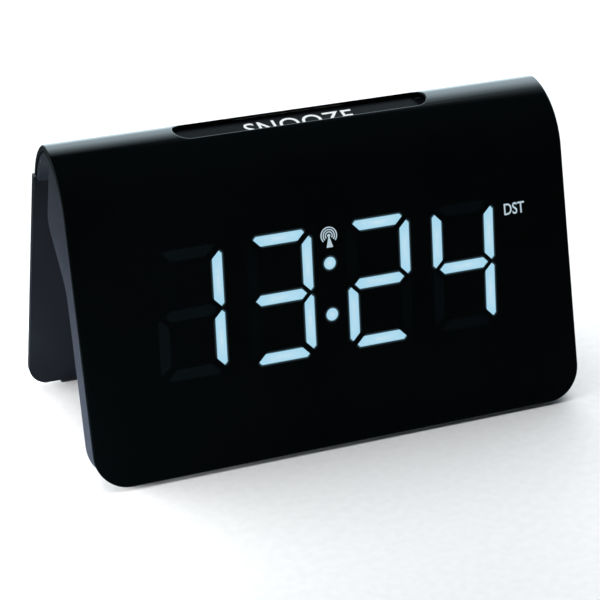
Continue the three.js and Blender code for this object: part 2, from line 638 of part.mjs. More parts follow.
function snooze() {
  const length = SNOOZE_LENGTH - 2 * KEY_CLEARANCE;
  const depth = SNOOZE_DEPTH - 2 * KEY_CLEARANCE;
  const rearTop = crownHeight(0, SNOOZE_MIDDLE + SNOOZE_DEPTH / 2) - SNOOZE_SINK;
  const bar = prism(overSnooze, stadium(length, depth), [FLANGE_BOTTOM, crownTop + 2]);
  const flange = prism(
    overSnooze,
    stadium(SNOOZE_LENGTH + 2 * FLANGE, SNOOZE_DEPTH + 2 * FLANGE),
    [FLANGE_BOTTOM, FLANGE_BOTTOM + FLANGE_THICKNESS],
  );
  const slope = rad(SNOOZE_TILT);
  const face = frame(SNOOZE_MIDDLE + depth / 2, rearTop, -Math.sin(slope), Math.cos(slope));
  const above = box(face, [-half, half], [-30, 5], [0, 20]);
  add("snooze_bar", joined([without(bar, [above]), flange]), "key");
  const rear = WELL_REAR - WELL_WALL - 0.4;
  const boardUp = [SNOOZE_BOARD_BOTTOM, SNOOZE_BOARD_TOP];
  add("snooze_board", box(level, [-30, 30], [flangeFront, rear], boardUp), "board");
  const stemTop = FLANGE_BOTTOM - SNOOZE_TRAVEL - GAP;
  for (const [name, x] of [["left", -20], ["right", 20]]) {
    const y = [SNOOZE_MIDDLE - 3, SNOOZE_MIDDLE + 3];
    const body = box(level, [x - 3, x + 3], y, [SNOOZE_BOARD_TOP + GAP, stemTop - 0.6]);
    const stem = cylinder(level, x, SNOOZE_MIDDLE, 1.6, [stemTop - 0.8, stemTop], 12);
    add(`snooze_switch_${name}`, joined([body, stem]), "chip");
  }
}

// ---- Display ------------------------------------------------------------

// One six-sided segment, sheared with the digit's slant.
function segmentShape(x, up, length, upright, grow) {
  const tip = length / 2 + grow;
  const side = SEGMENT_THICKNESS / 2 + grow;
  const upper = [[-tip, 0], [-tip + side, side], [tip - side, side]];
  const lower = [[tip, 0], [tip - side, -side], [-tip + side, -side]];
  const outline = [...upper, ...lower];
  const shear = Math.tan(rad(DIGIT_SLANT));
  return polygon(
    outline.map(([u, v]) => {
      const [across, along] = upright ? [-v, u] : [u, v];
      return [x + across + (up + along - DIGIT_MIDDLE) * shear, up + along];
    }),
  );
}

function lightShapes(grow) {
  const shapes = [];
  const wide = DIGIT_WIDTH - SEGMENT_SPACING;
  const tall = DIGIT_HALF_HEIGHT - SEGMENT_SPACING;
  for (const offset of [-DIGIT_OUTER, -DIGIT_INNER, DIGIT_INNER, DIGIT_OUTER]) {
    const x = DISPLAY_SHIFT + offset;
    for (const row of [-1, 0, 1]) {
      shapes.push(segmentShape(x, DIGIT_MIDDLE + row * DIGIT_HALF_HEIGHT, wide, false, grow));
    }
    for (const side of [-1, 1]) {
      for (const row of [-0.5, 0.5]) {
        if (offset === -DIGIT_OUTER && side < 0 && row > 0) {
          continue; // tens of hours only show 1 or 2, so that digit has no upper left segment
        }
        const up = DIGIT_MIDDLE + row * DIGIT_HALF_HEIGHT;
        shapes.push(segmentShape(x + (side * DIGIT_WIDTH) / 2, up, tall, true, grow));
      }
    }
  }
  for (const side of [-1, 1]) {
    const dot = new THREE.Shape();
    const shift = DISPLAY_SHIFT + side * DOT_OFFSET * Math.tan(rad(DIGIT_SLANT));
    dot.absarc(shift, DIGIT_MIDDLE + side * DOT_OFFSET, DOT_RADIUS + grow, 0, Math.PI * 2, false);
    shapes.push(dot);
  }
  for (const { x, up, width, height } of [ICON, SAVING_SIGN]) {
    const reach = [width / 2 + grow, height / 2 + grow];
    shapes.push(roundedRectangle(x - reach[0], x + reach[0], up - reach[1], up + reach[1], 0.6));
  }
  return shapes;
}

function centreOf(shape) {
  const bounds = new THREE.Box2().setFromPoints(shape.getPoints(6));
  return bounds.getCenter(new THREE.Vector2());
}

const LED_BOARD_BACK = HOUSING_DEPTH - WALL - 0.7;
const LED_BOARD = [LED_BOARD_BACK - BOARD_THICKNESS, LED_BOARD_BACK];
const REFLECTOR = [FRONT_FACE + 0.6 + 0.05, LED_BOARD[0] - GAP];

function display() {
  const film = [FRONT_FACE, FRONT_FACE + 0.25];
  const inserts = lightShapes(0).map((shape) => prism(panel, shape, [-film[1] - 1.6, -film[0] - 0.1], 3));
  const sheet = panelCut([DISPLAY.x[0], DISPLAY.x[1]], DISPLAY.up, film);
  add("display_diffuser", joined([sheet, ...inserts]), "diffuser");
  const cellDepth = [-REFLECTOR[1] - 1, -REFLECTOR[0] + 1];
  const cells = lightShapes(0.3).map((shape) => prism(panel, shape, cellDepth, 3));
  add("display_reflector", without(panelCut(DISPLAY.x, DISPLAY.up, REFLECTOR), cells), "white");
  const chips = lightShapes(0).map((shape) => {
    const { x, y } = centreOf(shape);
    return panelCut([x - 0.8, x + 0.8], [y - 0.8, y + 0.8], [LED_BOARD[0] - 0.7, LED_BOARD[0] + 0.3]);
  });
  add("led_board", joined([panelCut(DISPLAY.x, DISPLAY.up, LED_BOARD), ...chips]), "board");
}

// ---- Electronics under the crown ----------------------------------------
// The main board stands in the deeper space over the shelf, one step behind the LED board.
const BOARD_ABOVE_SHELF = 15.55;
const boardBottom = SHELF_UP + BOARD_ABOVE_SHELF;
const MAIN_BOARD = {
  x: [-60, 60],
  up: [boardBottom, boardBottom + 12],
  depth: [LED_BOARD[1] + 0.9, LED_BOARD[1] + 0.9 + BOARD_THICKNESS],
};
const ROD = { radius: 2.8, x: [-62, -2] };

function electronics() {
  const face = MAIN_BOARD.depth[1] + GAP;
  add("main_board", panelCut(MAIN_BOARD.x, MAIN_BOARD.up, MAIN_BOARD.depth), "board");
  const up = (from, to) => [boardBottom + from, boardBottom + to];
  add("controller_chip", panelCut([6, 17], up(2, 11.4), [face, face + 1.7]), "chip");
  const crystal = panelPoint(boardBottom + 5, face + 1.3);
  add("clock_crystal", cylinder(alongX, ...crystal, 1.2, [19, 24.5], 12), "steel");
  const capacitor = panelPoint(boardBottom + 8, face + 2.6);
  add("capacitor", cylinder(alongX, ...capacitor, 2.5, [27, 35], 16), "steel");
  const radio = panelCut([38, 56], up(0.8, 11), [face, face + 1]);
  add("radio_board", joined([radio, panelCut([43, 51], up(2.5, 9), [face + 0.8, face + 2.2])]), "board");
  const ribbonUp = [DISPLAY.up[1] - 7, boardBottom + 9];
  add("ribbon", panelCut([10, 30], ribbonUp, [LED_BOARD[1] + GAP, LED_BOARD[1] + 0.55]), "ribbon");
  const axis = panelPoint(boardBottom + 6, face + ROD.radius + 1.4);
  add("antenna_rod", cylinder(alongX, ...axis, ROD.radius, ROD.x, 16), "ferrite");
  const coil = cylinder(alongX, ...axis, ROD.radius + 0.85, [-58, -46], 16);
  add("antenna_coil", without(coil, [cylinder(alongX, ...axis, ROD.radius + GAP, [-59, -45], 16)]), "copper");
  for (const [name, x] of [["left", -60], ["right", -4]]) {
    const block = panelCut([x - 1, x + 1], up(3.2, 9.8), [face, face + ROD.radius + 2.4]);
    const seat = cylinder(alongX, ...axis, ROD.radius + GAP, [x - 2, x + 2], 16);
    add(`antenna_holder_${name}`, without(block, [seat]), "white");
  }
  const buzzerTop = -WALL - GAP - 0.3;
  const buzzerUp = [buzzerTop - BUZZER.thickness, buzzerTop];
  const buzzer = cylinder(upperWall, BUZZER.x, 0, BUZZER.radius, buzzerUp, 20);
  const mouth = cylinder(upperWall, BUZZER.x, 0, 1, [buzzerTop - 1, buzzerTop + 1], 12);
  add("buzzer", without(buzzer, [mouth]), "chip");
}

add("front_cover", frontCover(), "gloss");
add("housing", housing(), "shell");
add("rear_cover", rearCover(), "shell");
add("rear_leg", rearLeg(), "leg");
feet();
screws();
snooze();
keys();
alarmSwitch();
dcJack();
backupCell();
display();
electronics();

// From the cover's lower front edge to the middle of the footprint, at ground level.
const footprint = crownEnd[0] + LEG_STEP * cosLean + legBottom * sinLean;
clock.position.set(0, -footprint / 2, LIFT);

export default clock;
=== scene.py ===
"""Looks for a tent-shaped LED alarm clock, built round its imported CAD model."""

import json
import math

import bmesh
import bpy
from bpy.props import FloatProperty, FloatVectorProperty, PointerProperty
from mathutils import Matrix, Vector

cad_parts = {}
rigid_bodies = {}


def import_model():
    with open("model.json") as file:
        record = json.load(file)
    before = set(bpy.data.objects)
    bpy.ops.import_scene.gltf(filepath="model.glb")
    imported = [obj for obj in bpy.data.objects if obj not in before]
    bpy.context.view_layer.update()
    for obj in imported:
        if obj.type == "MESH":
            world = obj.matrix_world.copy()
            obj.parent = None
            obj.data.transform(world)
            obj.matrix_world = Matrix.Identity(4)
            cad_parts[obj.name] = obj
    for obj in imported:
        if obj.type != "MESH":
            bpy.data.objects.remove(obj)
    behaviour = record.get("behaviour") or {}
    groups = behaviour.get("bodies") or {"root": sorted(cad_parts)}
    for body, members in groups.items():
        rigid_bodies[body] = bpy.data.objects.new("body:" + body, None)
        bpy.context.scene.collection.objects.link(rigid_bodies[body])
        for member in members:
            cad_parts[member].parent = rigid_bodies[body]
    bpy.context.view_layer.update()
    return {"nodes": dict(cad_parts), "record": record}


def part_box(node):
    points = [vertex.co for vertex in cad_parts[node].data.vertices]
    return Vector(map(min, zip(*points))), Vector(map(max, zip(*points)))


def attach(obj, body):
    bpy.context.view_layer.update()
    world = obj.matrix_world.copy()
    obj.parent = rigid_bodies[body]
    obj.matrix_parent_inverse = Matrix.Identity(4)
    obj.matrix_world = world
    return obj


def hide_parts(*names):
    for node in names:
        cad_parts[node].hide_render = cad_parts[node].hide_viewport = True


bl_info = {
    "name": "Tent alarm clock",
    "version": (1, 0, 0),
    "blender": (4, 5, 0),
    "location": "View3D > Sidebar > Clock",
    "description": "Models and finishes the pieces of a tent-shaped alarm clock",
    "category": "Object",
}

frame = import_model()
MM = 0.001
ACROSS = Vector((1, 0, 0))
SLIVER = 0.001 * MM  # room for rounding when corners and faces are picked by their place
KEY_CLEARANCE = 0.35 * MM  # between a key or the snooze bar and the edge of its opening
PRINT_HEIGHT = 0.01 * MM  # how far an inked word's middle stands above what it is printed on

# Layers on the front face: how far each stands proud, and how thick it is.
LIT_LAYER = (0.06 * MM, 0.05 * MM)
GLOW_LAYER = (0.03 * MM, 0.025 * MM)
# The layer of painted glow over the unlit light cups.
CUP_GLOW_LAYER = (0.02 * MM, 0.015 * MM)


def hex_colour(code):
    """An sRGB hex colour as linear red, green and blue."""
    parts = [int(code[i : i + 2], 16) / 255 for i in (1, 3, 5)]
    return [c / 12.92 if c <= 0.04045 else ((c + 0.055) / 1.055) ** 2.4 for c in parts]


# ---- What a user would change ---------------------------------------------


def length(name, description, default_mm):
    return FloatProperty(name=name, description=description, default=default_mm * MM, unit="LENGTH")


def angle(name, description, degrees):
    start = math.radians(degrees)
    return FloatProperty(name=name, description=description, default=start, unit="ROTATION")


def colour(name, description, code):
    return FloatVectorProperty(
        name=name, description=description, default=hex_colour(code), subtype="COLOR", min=0, max=1
    )


class CoverSettings(bpy.types.PropertyGroup):
    lean: angle("Lean", "Lean of the front face and of the rear leg from upright", 15.2)
    panel: length("Panel height", "Straight part of the front face, along its slope", 86.58)
    thickness: length("Sheet thickness", "Thickness of the polished front sheet", 2.0)
    corner: length("Lower corners", "Radius of the front sheet's two lower corners", 11.5)
    edge: length("Edge round", "Radius that polishing leaves on the sheet's edges", 0.55)
    front_bend: length("Front bend", "Radius of the crown's first bend", 24.0)
    top_bend: length("Top bend", "Radius of the crown's tight bend", 6.5)
    rear_bend: length("Rear bend", "Radius of the crown's last bend", 21.0)
    top_start: angle("Top bend start", "Surface direction where the tight bend starts", 84)
    top_end: angle("Top bend end", "Surface direction where the tight bend ends", 120)
    tail: length("Tail", "Straight end of the sheet behind the crown", 0.6)
    leg_corner: length("Leg corners", "Radius of the rear leg's two lower corners", 8.5)
    leg_edge: length("Leg edge round", "Radius on the rear leg's edges", 0.5)
    leg_bore: length("Leg bore", "Radius of the leg's four screw holes", 1.3)
    leg_sink: length("Leg sink", "Radius of the 1 mm deep seats for the leg's screw heads", 2.5)
    shell_edge: length("Shell edge round", "Radius on the edges of the two moulded shells", 0.25)


class ControlSettings(bpy.types.PropertyGroup):
    snooze_tilt: angle("Snooze tilt", "Forward tilt of the snooze bar's top", 14)
    snooze_round: length("Snooze edge round", "Radius on the snooze bar's top edge", 0.5)
    flange: length("Snooze flange", "How far the snooze bar's flange stands out", 1.55)
    flange_height: length("Flange height", "Height of the snooze bar's flange", 1.5)
    snooze_letters: length("Snooze letter size", "Size of the word on the snooze bar", 9.2)
    snooze_shift: length("Snooze letter shift", "Middle of the word, across the bar", -0.8)
    shelf_tilt: angle("Shelf slope", "Slope of the shelf that carries the keys", 41.5)
    key_round: length("Key edge round", "Radius on the top edge of a key", 0.45)
    key_corner: length("Key corners", "Radius of a key's corners, seen from above", 1.4)
    key_flange: length("Key flange", "How far a key's hidden flange stands out", 0.9)
    key_base: length("Key flange height", "Height of a key's hidden flange", 1.1)
    legend: length("Legend size", "Size of the words printed beside the keys", 2.2)
    legend_gap: length("Legend gap", "From a key's lower edge to its word's middle", 2.0)


class DisplaySettings(bpy.types.PropertyGroup):
    half_height: length("Half height", "From a digit's middle to its top segment's line", 19.1)
    width: length("Digit width", "Between the centre lines of a digit's two sides", 18.9)
    slant: angle("Slant", "Slant of the digits", 3.1)
    middle: length("Middle", "Height of the digits' middle up the panel", 52.1)
    shift: length("Shift", "Place of the colon across the panel", -1.2)
    inner: length("Inner digits", "From the colon to the inner digits' centres", 17.2)
    outer: length("Outer digits", "From the colon to the outer digits' centres", 47.8)
    thickness: length("Segment thickness", "Width of a lit segment", 3.3)
    spacing: length("Segment spacing", "Gap between the tips of neighbouring segments", 1.4)
    dot: length("Dot radius", "Radius of the colon's dots", 2.0)
    dot_offset: length("Dot offset", "From the digits' middle to a dot", 8.4)
    halo: length("Halo", "Width of the soft glow round what is lit", 0.9)
    # The unlit light cups show on the front sheet only as painted glow; these two set its size and
    # its fade.
    cup: length("Cup growth", "How far a light cup reaches past its segment all round", 0.6)
    cup_edge: length("Cup edge", "Width over which a light cup fades at its rim", 0.7)
    antenna_x: length("Antenna sign", "Place of the antenna sign across the panel", -0.2)
    antenna_up: length("Antenna height", "Height of the antenna sign up the panel", 68.6)
    wave: length("Wave width", "Width of a line of the antenna sign's waves", 0.38)
    word_x: length("DST sign", "Place of the DST sign across the panel", 66.5)
    word_up: length("DST height", "Height of the DST sign up the panel", 68.2)
    word_size: length("DST size", "Letter size of the DST sign", 5.4)
    brightness: FloatProperty(
        name="Brightness", description="How brightly the segments shine", default=1.0
    )


class FinishSettings(bpy.types.PropertyGroup):
    gloss: colour("Gloss black", "Smoke-black front sheet", "#040708")
    shell: colour("Shell", "Slate grey of the moulded shells", "#282c35")
    leg: colour("Leg", "Dark grey of the rear leg", "#15181e")
    key: colour("Key black", "Black of the snooze bar and keys", "#08090c")
    ink: colour("Ink", "White printing ink", "#f4f8f8")
    lit: colour("Lit", "Ice-blue of the lit segments", "#a5d6ec")
    lit_core: colour("Lit core", "Paler blue where the light source is nearest", "#c4e2f0")
    sign: colour("Sign", "Grey-blue of the small lit signs", "#b4c8d2")
    sign_core: colour("Sign core", "Paler middle of the small lit signs", "#c6d6dd")


# ---- Modelling helpers ------------------------------------------------------


def select_only(*pieces):
    for o in list(bpy.context.view_layer.objects.selected):
        o.select_set(False)
    for o in pieces:
        o.select_set(True)
    bpy.context.view_layer.objects.active = pieces[0]


def settle(piece):
    """Moves a piece's place, turn and size into its mesh."""
    select_only(piece)
    bpy.ops.object.transform_apply(location=True, rotation=True, scale=True)
    return piece


def new_piece(name, add, scale=(1, 1, 1), location=(0, 0, 0), rotation=(0, 0, 0), **settings):
    """Adds a primitive with this size and place, named and settled."""
    add(location=location, rotation=rotation, **settings)
    piece = bpy.context.object
    piece.name = name
    piece.data.name = name
    piece.scale = scale
    return settle(piece)


def block(name, size, location=(0, 0, 0)):
    return new_piece(name, bpy.ops.mesh.primitive_cube_add, size, location, size=1)


def plate(name, size, location=(0, 0, 0), rotation=(0, 0, 0)):
    flat = (size[0], size[1], 1)
    return new_piece(name, bpy.ops.mesh.primitive_plane_add, flat, location, rotation, size=1)


def drum(name, radius, height, location=(0, 0, 0), vertices=64):
    add = bpy.ops.mesh.primitive_cylinder_add
    return new_piece(name, add, location=location, radius=radius, depth=height, vertices=vertices)


def disc(name, radius, place, vertices=48):
    """A flat round face, centred on a place across and up."""
    add = bpy.ops.mesh.primitive_circle_add
    made = new_piece(name, add, radius=radius, vertices=vertices, fill_type="NGON")
    made.data.transform(Matrix.Translation((*place, 0)))
    return made


def edit(piece, mode="FACE"):
    select_only(piece)
    bpy.ops.object.mode_set(mode="EDIT")
    bpy.ops.mesh.select_mode(type=mode)
    bpy.ops.mesh.select_all(action="DESELECT")


def leave():
    bpy.ops.object.mode_set(mode="OBJECT")


def pick(piece, kind, test):
    """In edit mode, selects only the faces, edges or vertices that pass the test."""
    bpy.ops.mesh.select_all(action="DESELECT")
    mesh = bmesh.from_edit_mesh(piece.data)
    found = [part for part in getattr(mesh, kind) if test(part)]
    if not found:
        raise RuntimeError(f"{piece.name}: nothing to select")
    for part in found:
        part.select = True
    mesh.select_flush_mode()
    bmesh.update_edit_mesh(piece.data)


def extrude(value):
    bpy.ops.mesh.extrude_region_move(TRANSFORM_OT_translate={"value": value})


def direction(edge):
    return (edge.verts[1].co - edge.verts[0].co).normalized()


def middle(edge):
    return (edge.verts[0].co + edge.verts[1].co) / 2


def merge(piece, distance):
    """Joins points that lie closer than this."""
    edit(piece)
    bpy.ops.mesh.select_all(action="SELECT")
    bpy.ops.mesh.remove_doubles(threshold=distance)
    leave()


def round_upright_edges(piece, radius, segments=10):
    edit(piece, "EDGE")
    pick(piece, "edges", lambda e: abs(direction(e).z) > 0.99)
    bpy.ops.mesh.bevel(offset=radius, segments=segments, affect="EDGES")
    leave()
    merge(piece, 0.03 * MM)


def round_faces_rim(piece, test, radius, segments=3):
    """Rounds the edges round each face that passes the test."""
    edit(piece)
    pick(piece, "faces", test)
    bpy.ops.mesh.region_to_loop()
    bpy.ops.mesh.bevel(offset=radius, segments=segments, affect="EDGES")
    leave()


def faces_up(face):
    return face.normal.z > 0.9


def modifier(piece, kind, **settings):
    select_only(piece)
    made = piece.modifiers.new(kind.title(), kind)
    for name, value in settings.items():
        setattr(made, name, value)
    bpy.ops.object.modifier_apply(modifier=made.name)


def soften(piece, radius, segments=2, limit=35, clamped=True):
    """Rounds every edge that is sharper than the limit, in degrees."""
    modifier(
        piece,
        "BEVEL",
        width=radius,
        segments=segments,
        limit_method="ANGLE",
        angle_limit=math.radians(limit),
        use_clamp_overlap=clamped,
    )


def cut(piece, cutter):
    modifier(piece, "BOOLEAN", operation="DIFFERENCE", solver="EXACT", object=cutter)
    bpy.data.objects.remove(cutter)


def smooth(piece, degrees=32):
    """Smooths the shading over bends and keeps it flat on broad faces."""
    select_only(piece)
    bpy.ops.object.shade_smooth_by_angle(angle=math.radians(degrees))
    modifier(piece, "WEIGHTED_NORMAL", keep_sharp=True, weight=100)


def join(name, *pieces):
    select_only(*pieces)
    if len(pieces) > 1:
        bpy.ops.object.join()
    pieces[0].name = name
    pieces[0].data.name = name
    return pieces[0]


def duplicate(piece, name):
    copy = piece.copy()
    copy.data = piece.data.copy()
    copy.name = name
    copy.data.name = name
    bpy.context.scene.collection.objects.link(copy)
    return copy


def cleaned_copy(node, name):
    """A copy of a CAD node with its loose triangles merged and its flat faces made whole."""
    source = frame["nodes"][node]
    piece = bpy.data.objects.new(name, source.data.copy())
    bpy.context.scene.collection.objects.link(piece)
    edit(piece)
    bpy.ops.mesh.select_all(action="SELECT")
    bpy.ops.mesh.remove_doubles(threshold=0.002 * MM)
    bpy.ops.mesh.dissolve_limited(angle_limit=math.radians(0.3))
    leave()
    return piece


def facing(normal, across=ACROSS):
    """Axes with local z along a surface's outward normal and local x across the clock."""
    normal = Vector(normal).normalized()
    return Matrix([across, normal.cross(across), normal]).transposed()


def extent(node, axes):
    """Lowest and highest corner of a CAD node, measured along these axes."""
    inverse = axes.transposed()
    points = [inverse @ v.co for v in frame["nodes"][node].data.vertices]
    low = Vector([min(p[i] for p in points) for i in range(3)])
    high = Vector([max(p[i] for p in points) for i in range(3)])
    return low, high


def top_middle(node, axes):
    """Size of a CAD node along these axes, and the middle of its top."""
    low, high = extent(node, axes)
    return high - low, Vector(((low.x + high.x) / 2, (low.y + high.y) / 2, high.z))


def put(piece, axes, point):
    """Stands a piece, made round the origin, on a point given along the axes."""
    piece.data.transform(axes.to_4x4() @ Matrix.Translation(point))
    piece.data.update()
    return piece


def dressed(piece, material, body, slot, *nodes):
    """Gives a finished piece its material and its CAD body, and hides the nodes it stands for. The
    slot is not used.
    """
    piece.data.materials.clear()
    piece.data.materials.append(material)
    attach(piece, body)
    if nodes:
        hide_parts(*nodes)
    return piece


def lettering(name, words, size, thickness=0.03 * MM, spacing=1.0, weight=0.0, width=1.0):
    """Flat printed words, lying face up round the origin."""
    bpy.ops.object.text_add()
    text = bpy.context.object
    text.data.body = words
    text.data.size = size
    text.data.align_x = "CENTER"
    text.data.align_y = "CENTER"
    text.data.space_character = spacing
    text.data.extrude = thickness / 2
    text.data.offset = weight
    text.data.resolution_u = 6
    select_only(text)
    bpy.ops.object.convert(target="MESH")
    text = bpy.context.object
    merge(text, SLIVER)
    text.data.transform(Matrix.Diagonal((width, 1, 1, 1)))
    text.name = name
    text.data.name = name
    return text


# ---- Materials --------------------------------------------------------------


def node(tree, kind, links=None, **settings):
    """Adds a node: settings are its properties or input values, links feed its inputs."""
    made = tree.nodes.new(kind)
    for name, value in settings.items():
        if hasattr(made, name):
            setattr(made, name, value)
        else:
            made.inputs[name.replace("_", " ")].default_value = value
    for name, source in (links or {}).items():
        tree.links.new(source, made.inputs[name])
    return made


def surface(name, roughness, ior=1.5, **values):
    """A new material and its shader, set to even values."""
    material = bpy.data.materials.new(name)
    material.use_nodes = True
    shader = material.node_tree.nodes["Principled BSDF"]
    shader.inputs["Roughness"].default_value = roughness
    shader.inputs["IOR"].default_value = ior
    for key, value in values.items():
        shader.inputs[key.replace("_", " ")].default_value = value
    return material, material.node_tree, shader


def scaled_noise(tree, grain_mm, detail=2.0, **settings):
    """Noise whose lumps are about this many millimetres across."""
    place = node(tree, "ShaderNodeTexCoord")
    return node(
        tree,
        "ShaderNodeTexNoise",
        {"Vector": place.outputs["Object"]},
        Scale=1000 / grain_mm,
        Detail=detail,
        **settings,
    )


def ramp(tree, source, target, low, high, start=0.0, end=1.0):
    """Feeds an input with a colour that goes from low to high as the source rises."""
    made = node(tree, "ShaderNodeValToRGB", {"Fac": source})
    for stop, place, shade in zip(made.color_ramp.elements, (start, end), (low, high)):
        stop.position = place
        stop.color = (*shade, 1)
    tree.links.new(made.outputs["Color"], target)
    return made.color_ramp


def two_tones(tree, shader, noise, low, high, start=0.35, end=0.65):
    """Colours a surface between two tones by a noise."""
    ramp(tree, noise.outputs["Fac"], shader.inputs["Base Color"], low, high, start, end)


def roughness_range(tree, shader, noise, low, high):
    """Lets the roughness follow a noise, whose values mostly lie between 0.3 and 0.7."""
    limits = {"From_Min": 0.3, "From_Max": 0.7, "To_Min": low, "To_Max": high}
    spread = node(tree, "ShaderNodeMapRange", {"Value": noise.outputs["Fac"]}, **limits)
    tree.links.new(spread.outputs["Result"], shader.inputs["Roughness"])


def grain(tree, shader, noise, depth_mm):
    """Raises a surface by a noise, this many millimetres deep."""
    height = {"Height": noise.outputs["Fac"]}
    bump = node(tree, "ShaderNodeBump", height, Strength=1.0, Distance=depth_mm * MM)
    tree.links.new(bump.outputs["Normal"], shader.inputs["Normal"])


def tone(base, factor):
    return [min(1.0, c * factor) for c in base]


def polished_acrylic(base):
    # Cast acrylic sheet, smoke-black and flame-polished: a deep black with a clear, sharp gloss,
    # and wiping marks that only show as a slight change in how sharp a reflection is.
    material, tree, shader = surface("polished_acrylic", 0.04, 1.49)
    two_tones(tree, shader, scaled_noise(tree, 30), tone(base, 0.85), tone(base, 1.15))
    roughness_range(tree, shader, scaled_noise(tree, 14, 4.0), 0.03, 0.06)
    return material


def moulded_abs(name, base, roughness, grain_mm=0.5, depth_mm=0.006, shine=0.5):
    # Injection-moulded ABS from a spark-eroded tool: a fine, even grain, drawn a little coarser
    # than real so that it shows, and flow marks too faint to see but for their sheen.
    material, tree, shader = surface(name, roughness, 1.53, Specular_IOR_Level=shine)
    two_tones(tree, shader, scaled_noise(tree, 18), tone(base, 0.9), tone(base, 1.1))
    fine = scaled_noise(tree, grain_mm, 1.0)
    roughness_range(tree, shader, fine, roughness - 0.05, roughness + 0.06)
    grain(tree, shader, fine, depth_mm)
    return material


def printing_ink(base):
    # Pad-printed ink: opaque, a little chalky, with thin spots.
    material, tree, shader = surface("printing_ink", 0.5, 1.5)
    two_tones(tree, shader, scaled_noise(tree, 0.6), tone(base, 0.88), base)
    return material


def rubber_pad():
    # Moulded nitrile rubber: nearly black, dull, with dust held in its grain.
    material, tree, shader = surface("rubber_pad", 0.8, 1.52)
    fine = scaled_noise(tree, 0.7, 3.0)
    two_tones(tree, shader, fine, hex_colour("#141416"), hex_colour("#232427"))
    grain(tree, shader, fine, 0.03)
    return material


def plated_steel(name="plated_steel", light="#c3c6ca", dark="#9a9da2"):
    # Zinc- or nickel-plated steel: bright metal with a slight haze and small stains.
    material, tree, shader = surface(name, 0.3, 1.5, Metallic=1.0)
    cloud = scaled_noise(tree, 2.5, 4.0)
    two_tones(tree, shader, cloud, hex_colour(dark), hex_colour(light))
    roughness_range(tree, shader, cloud, 0.22, 0.4)
    return material


def circuit_board():
    # Solder resist over glass laminate: glossy green, darker between the copper areas.
    material, tree, shader = surface("solder_resist", 0.28, 1.5)
    place = node(tree, "ShaderNodeTexCoord")
    source = {"Vector": place.outputs["Object"]}
    tracks = node(tree, "ShaderNodeTexVoronoi", source, distance="CHEBYCHEV", Scale=1000 / 3.5)
    copper, bare = hex_colour("#1c5b34"), hex_colour("#123f24")
    base = shader.inputs["Base Color"]
    ramp(tree, tracks.outputs["Distance"], base, copper, bare, 0.0, 0.42).interpolation = "CONSTANT"
    return material


def milky_diffuser(base):
    # Milky polycarbonate film: pale, soft and slightly see-through.
    material, tree, shader = surface("milky_diffuser", 0.45, 1.58, Subsurface_Weight=0.2)
    two_tones(tree, shader, scaled_noise(tree, 8), tone(base, 0.9), base)
    return material


def white_abs():
    # White moulded ABS, as used for light cups.
    material, tree, shader = surface("white_abs", 0.5, 1.53)
    fine = scaled_noise(tree, 0.8)
    two_tones(tree, shader, fine, hex_colour("#dfe3e2"), hex_colour("#eef1f0"))
    grain(tree, shader, fine, 0.01)
    return material


def stripes(tree, spacing_mm):
    """Stripes across X, this many millimetres apart: a wave texture has a stripe each 1/20 unit."""
    place = node(tree, "ShaderNodeTexCoord")
    source = {"Vector": place.outputs["Object"]}
    scale = 1000 / spacing_mm / 20
    return node(tree, "ShaderNodeTexWave", source, bands_direction="X", Scale=scale)


def ribbon_film():
    # Flexible flat cable: grey-white film over flat conductors 1 mm apart.
    material, tree, shader = surface("ribbon_film", 0.4, 1.5)
    lines = stripes(tree, 1.0)
    two_tones(tree, shader, lines, hex_colour("#8f9294"), hex_colour("#c3c5c6"), 0.4, 0.6)
    return material


def sintered_ferrite():
    # Sintered ferrite: dark grey ceramic with open pores.
    material, tree, shader = surface("sintered_ferrite", 0.62, 2.0)
    fine = scaled_noise(tree, 0.9, 4.0)
    two_tones(tree, shader, fine, hex_colour("#1f2022"), hex_colour("#38393c"))
    grain(tree, shader, fine, 0.04)
    return material


def enamelled_copper():
    # Enamelled copper wire, 0.4 mm thick, wound side by side along the rod.
    material, tree, shader = surface("enamelled_copper", 0.3, 1.5, Metallic=1.0)
    turns = stripes(tree, 0.4)
    # The colour darkens into the grooves between turns, where the bump sinks: painted shade.
    two_tones(tree, shader, turns, hex_colour("#5d2712"), hex_colour("#b5592c"), 0.1, 0.7)
    grain(tree, shader, turns, 0.08)
    return material


def shining_window(edge, core, brightness):
    # Milky window lit from behind under a clear gloss: palest nearest its light source.
    material, tree, shader = surface("shining_window", 0.08, 1.49, Specular_IOR_Level=0.3)
    near = node(tree, "ShaderNodeAttribute", attribute_name="glow")
    grains = scaled_noise(tree, 2.2, 3.0)
    sources = {0: near.outputs["Fac"], 1: grains.outputs["Fac"]}
    uneven = node(tree, "ShaderNodeMath", sources, operation="MULTIPLY")
    shader.inputs["Base Color"].default_value = (0.01, 0.012, 0.014, 1)
    ramp(tree, uneven.outputs["Value"], shader.inputs["Emission Color"], edge, core, 0.0, 0.6)
    shader.inputs["Emission Strength"].default_value = brightness
    return material


def glowing_acrylic(base, lit, share):
    # The same black acrylic where light leaks round a window, fading to nothing outwards.
    material, tree, shader = surface("glowing_acrylic", 0.04, 1.49)
    near = node(tree, "ShaderNodeAttribute", attribute_name="glow")
    fall = node(tree, "ShaderNodeMath", {0: near.outputs["Fac"]}, operation="POWER")
    fall.inputs[1].default_value = 2.2
    two_tones(tree, shader, scaled_noise(tree, 30), tone(base, 0.85), tone(base, 1.15))
    glow = shader.inputs["Emission Color"]
    ramp(tree, fall.outputs["Value"], glow, (0, 0, 0), tone(lit, share))
    shader.inputs["Emission Strength"].default_value = 1.0
    return material


def matt_paper():
    # Pale, quite matt paper for the floor, with a barely uneven tone.
    material, tree, shader = surface("matt_paper", 0.9, 1.45, Specular_IOR_Level=0.0)
    fine = scaled_noise(tree, 3.0, 3.0)
    two_tones(tree, shader, fine, hex_colour("#f2f3f4"), hex_colour("#f6f7f8"))
    return material


made_finishes = {}


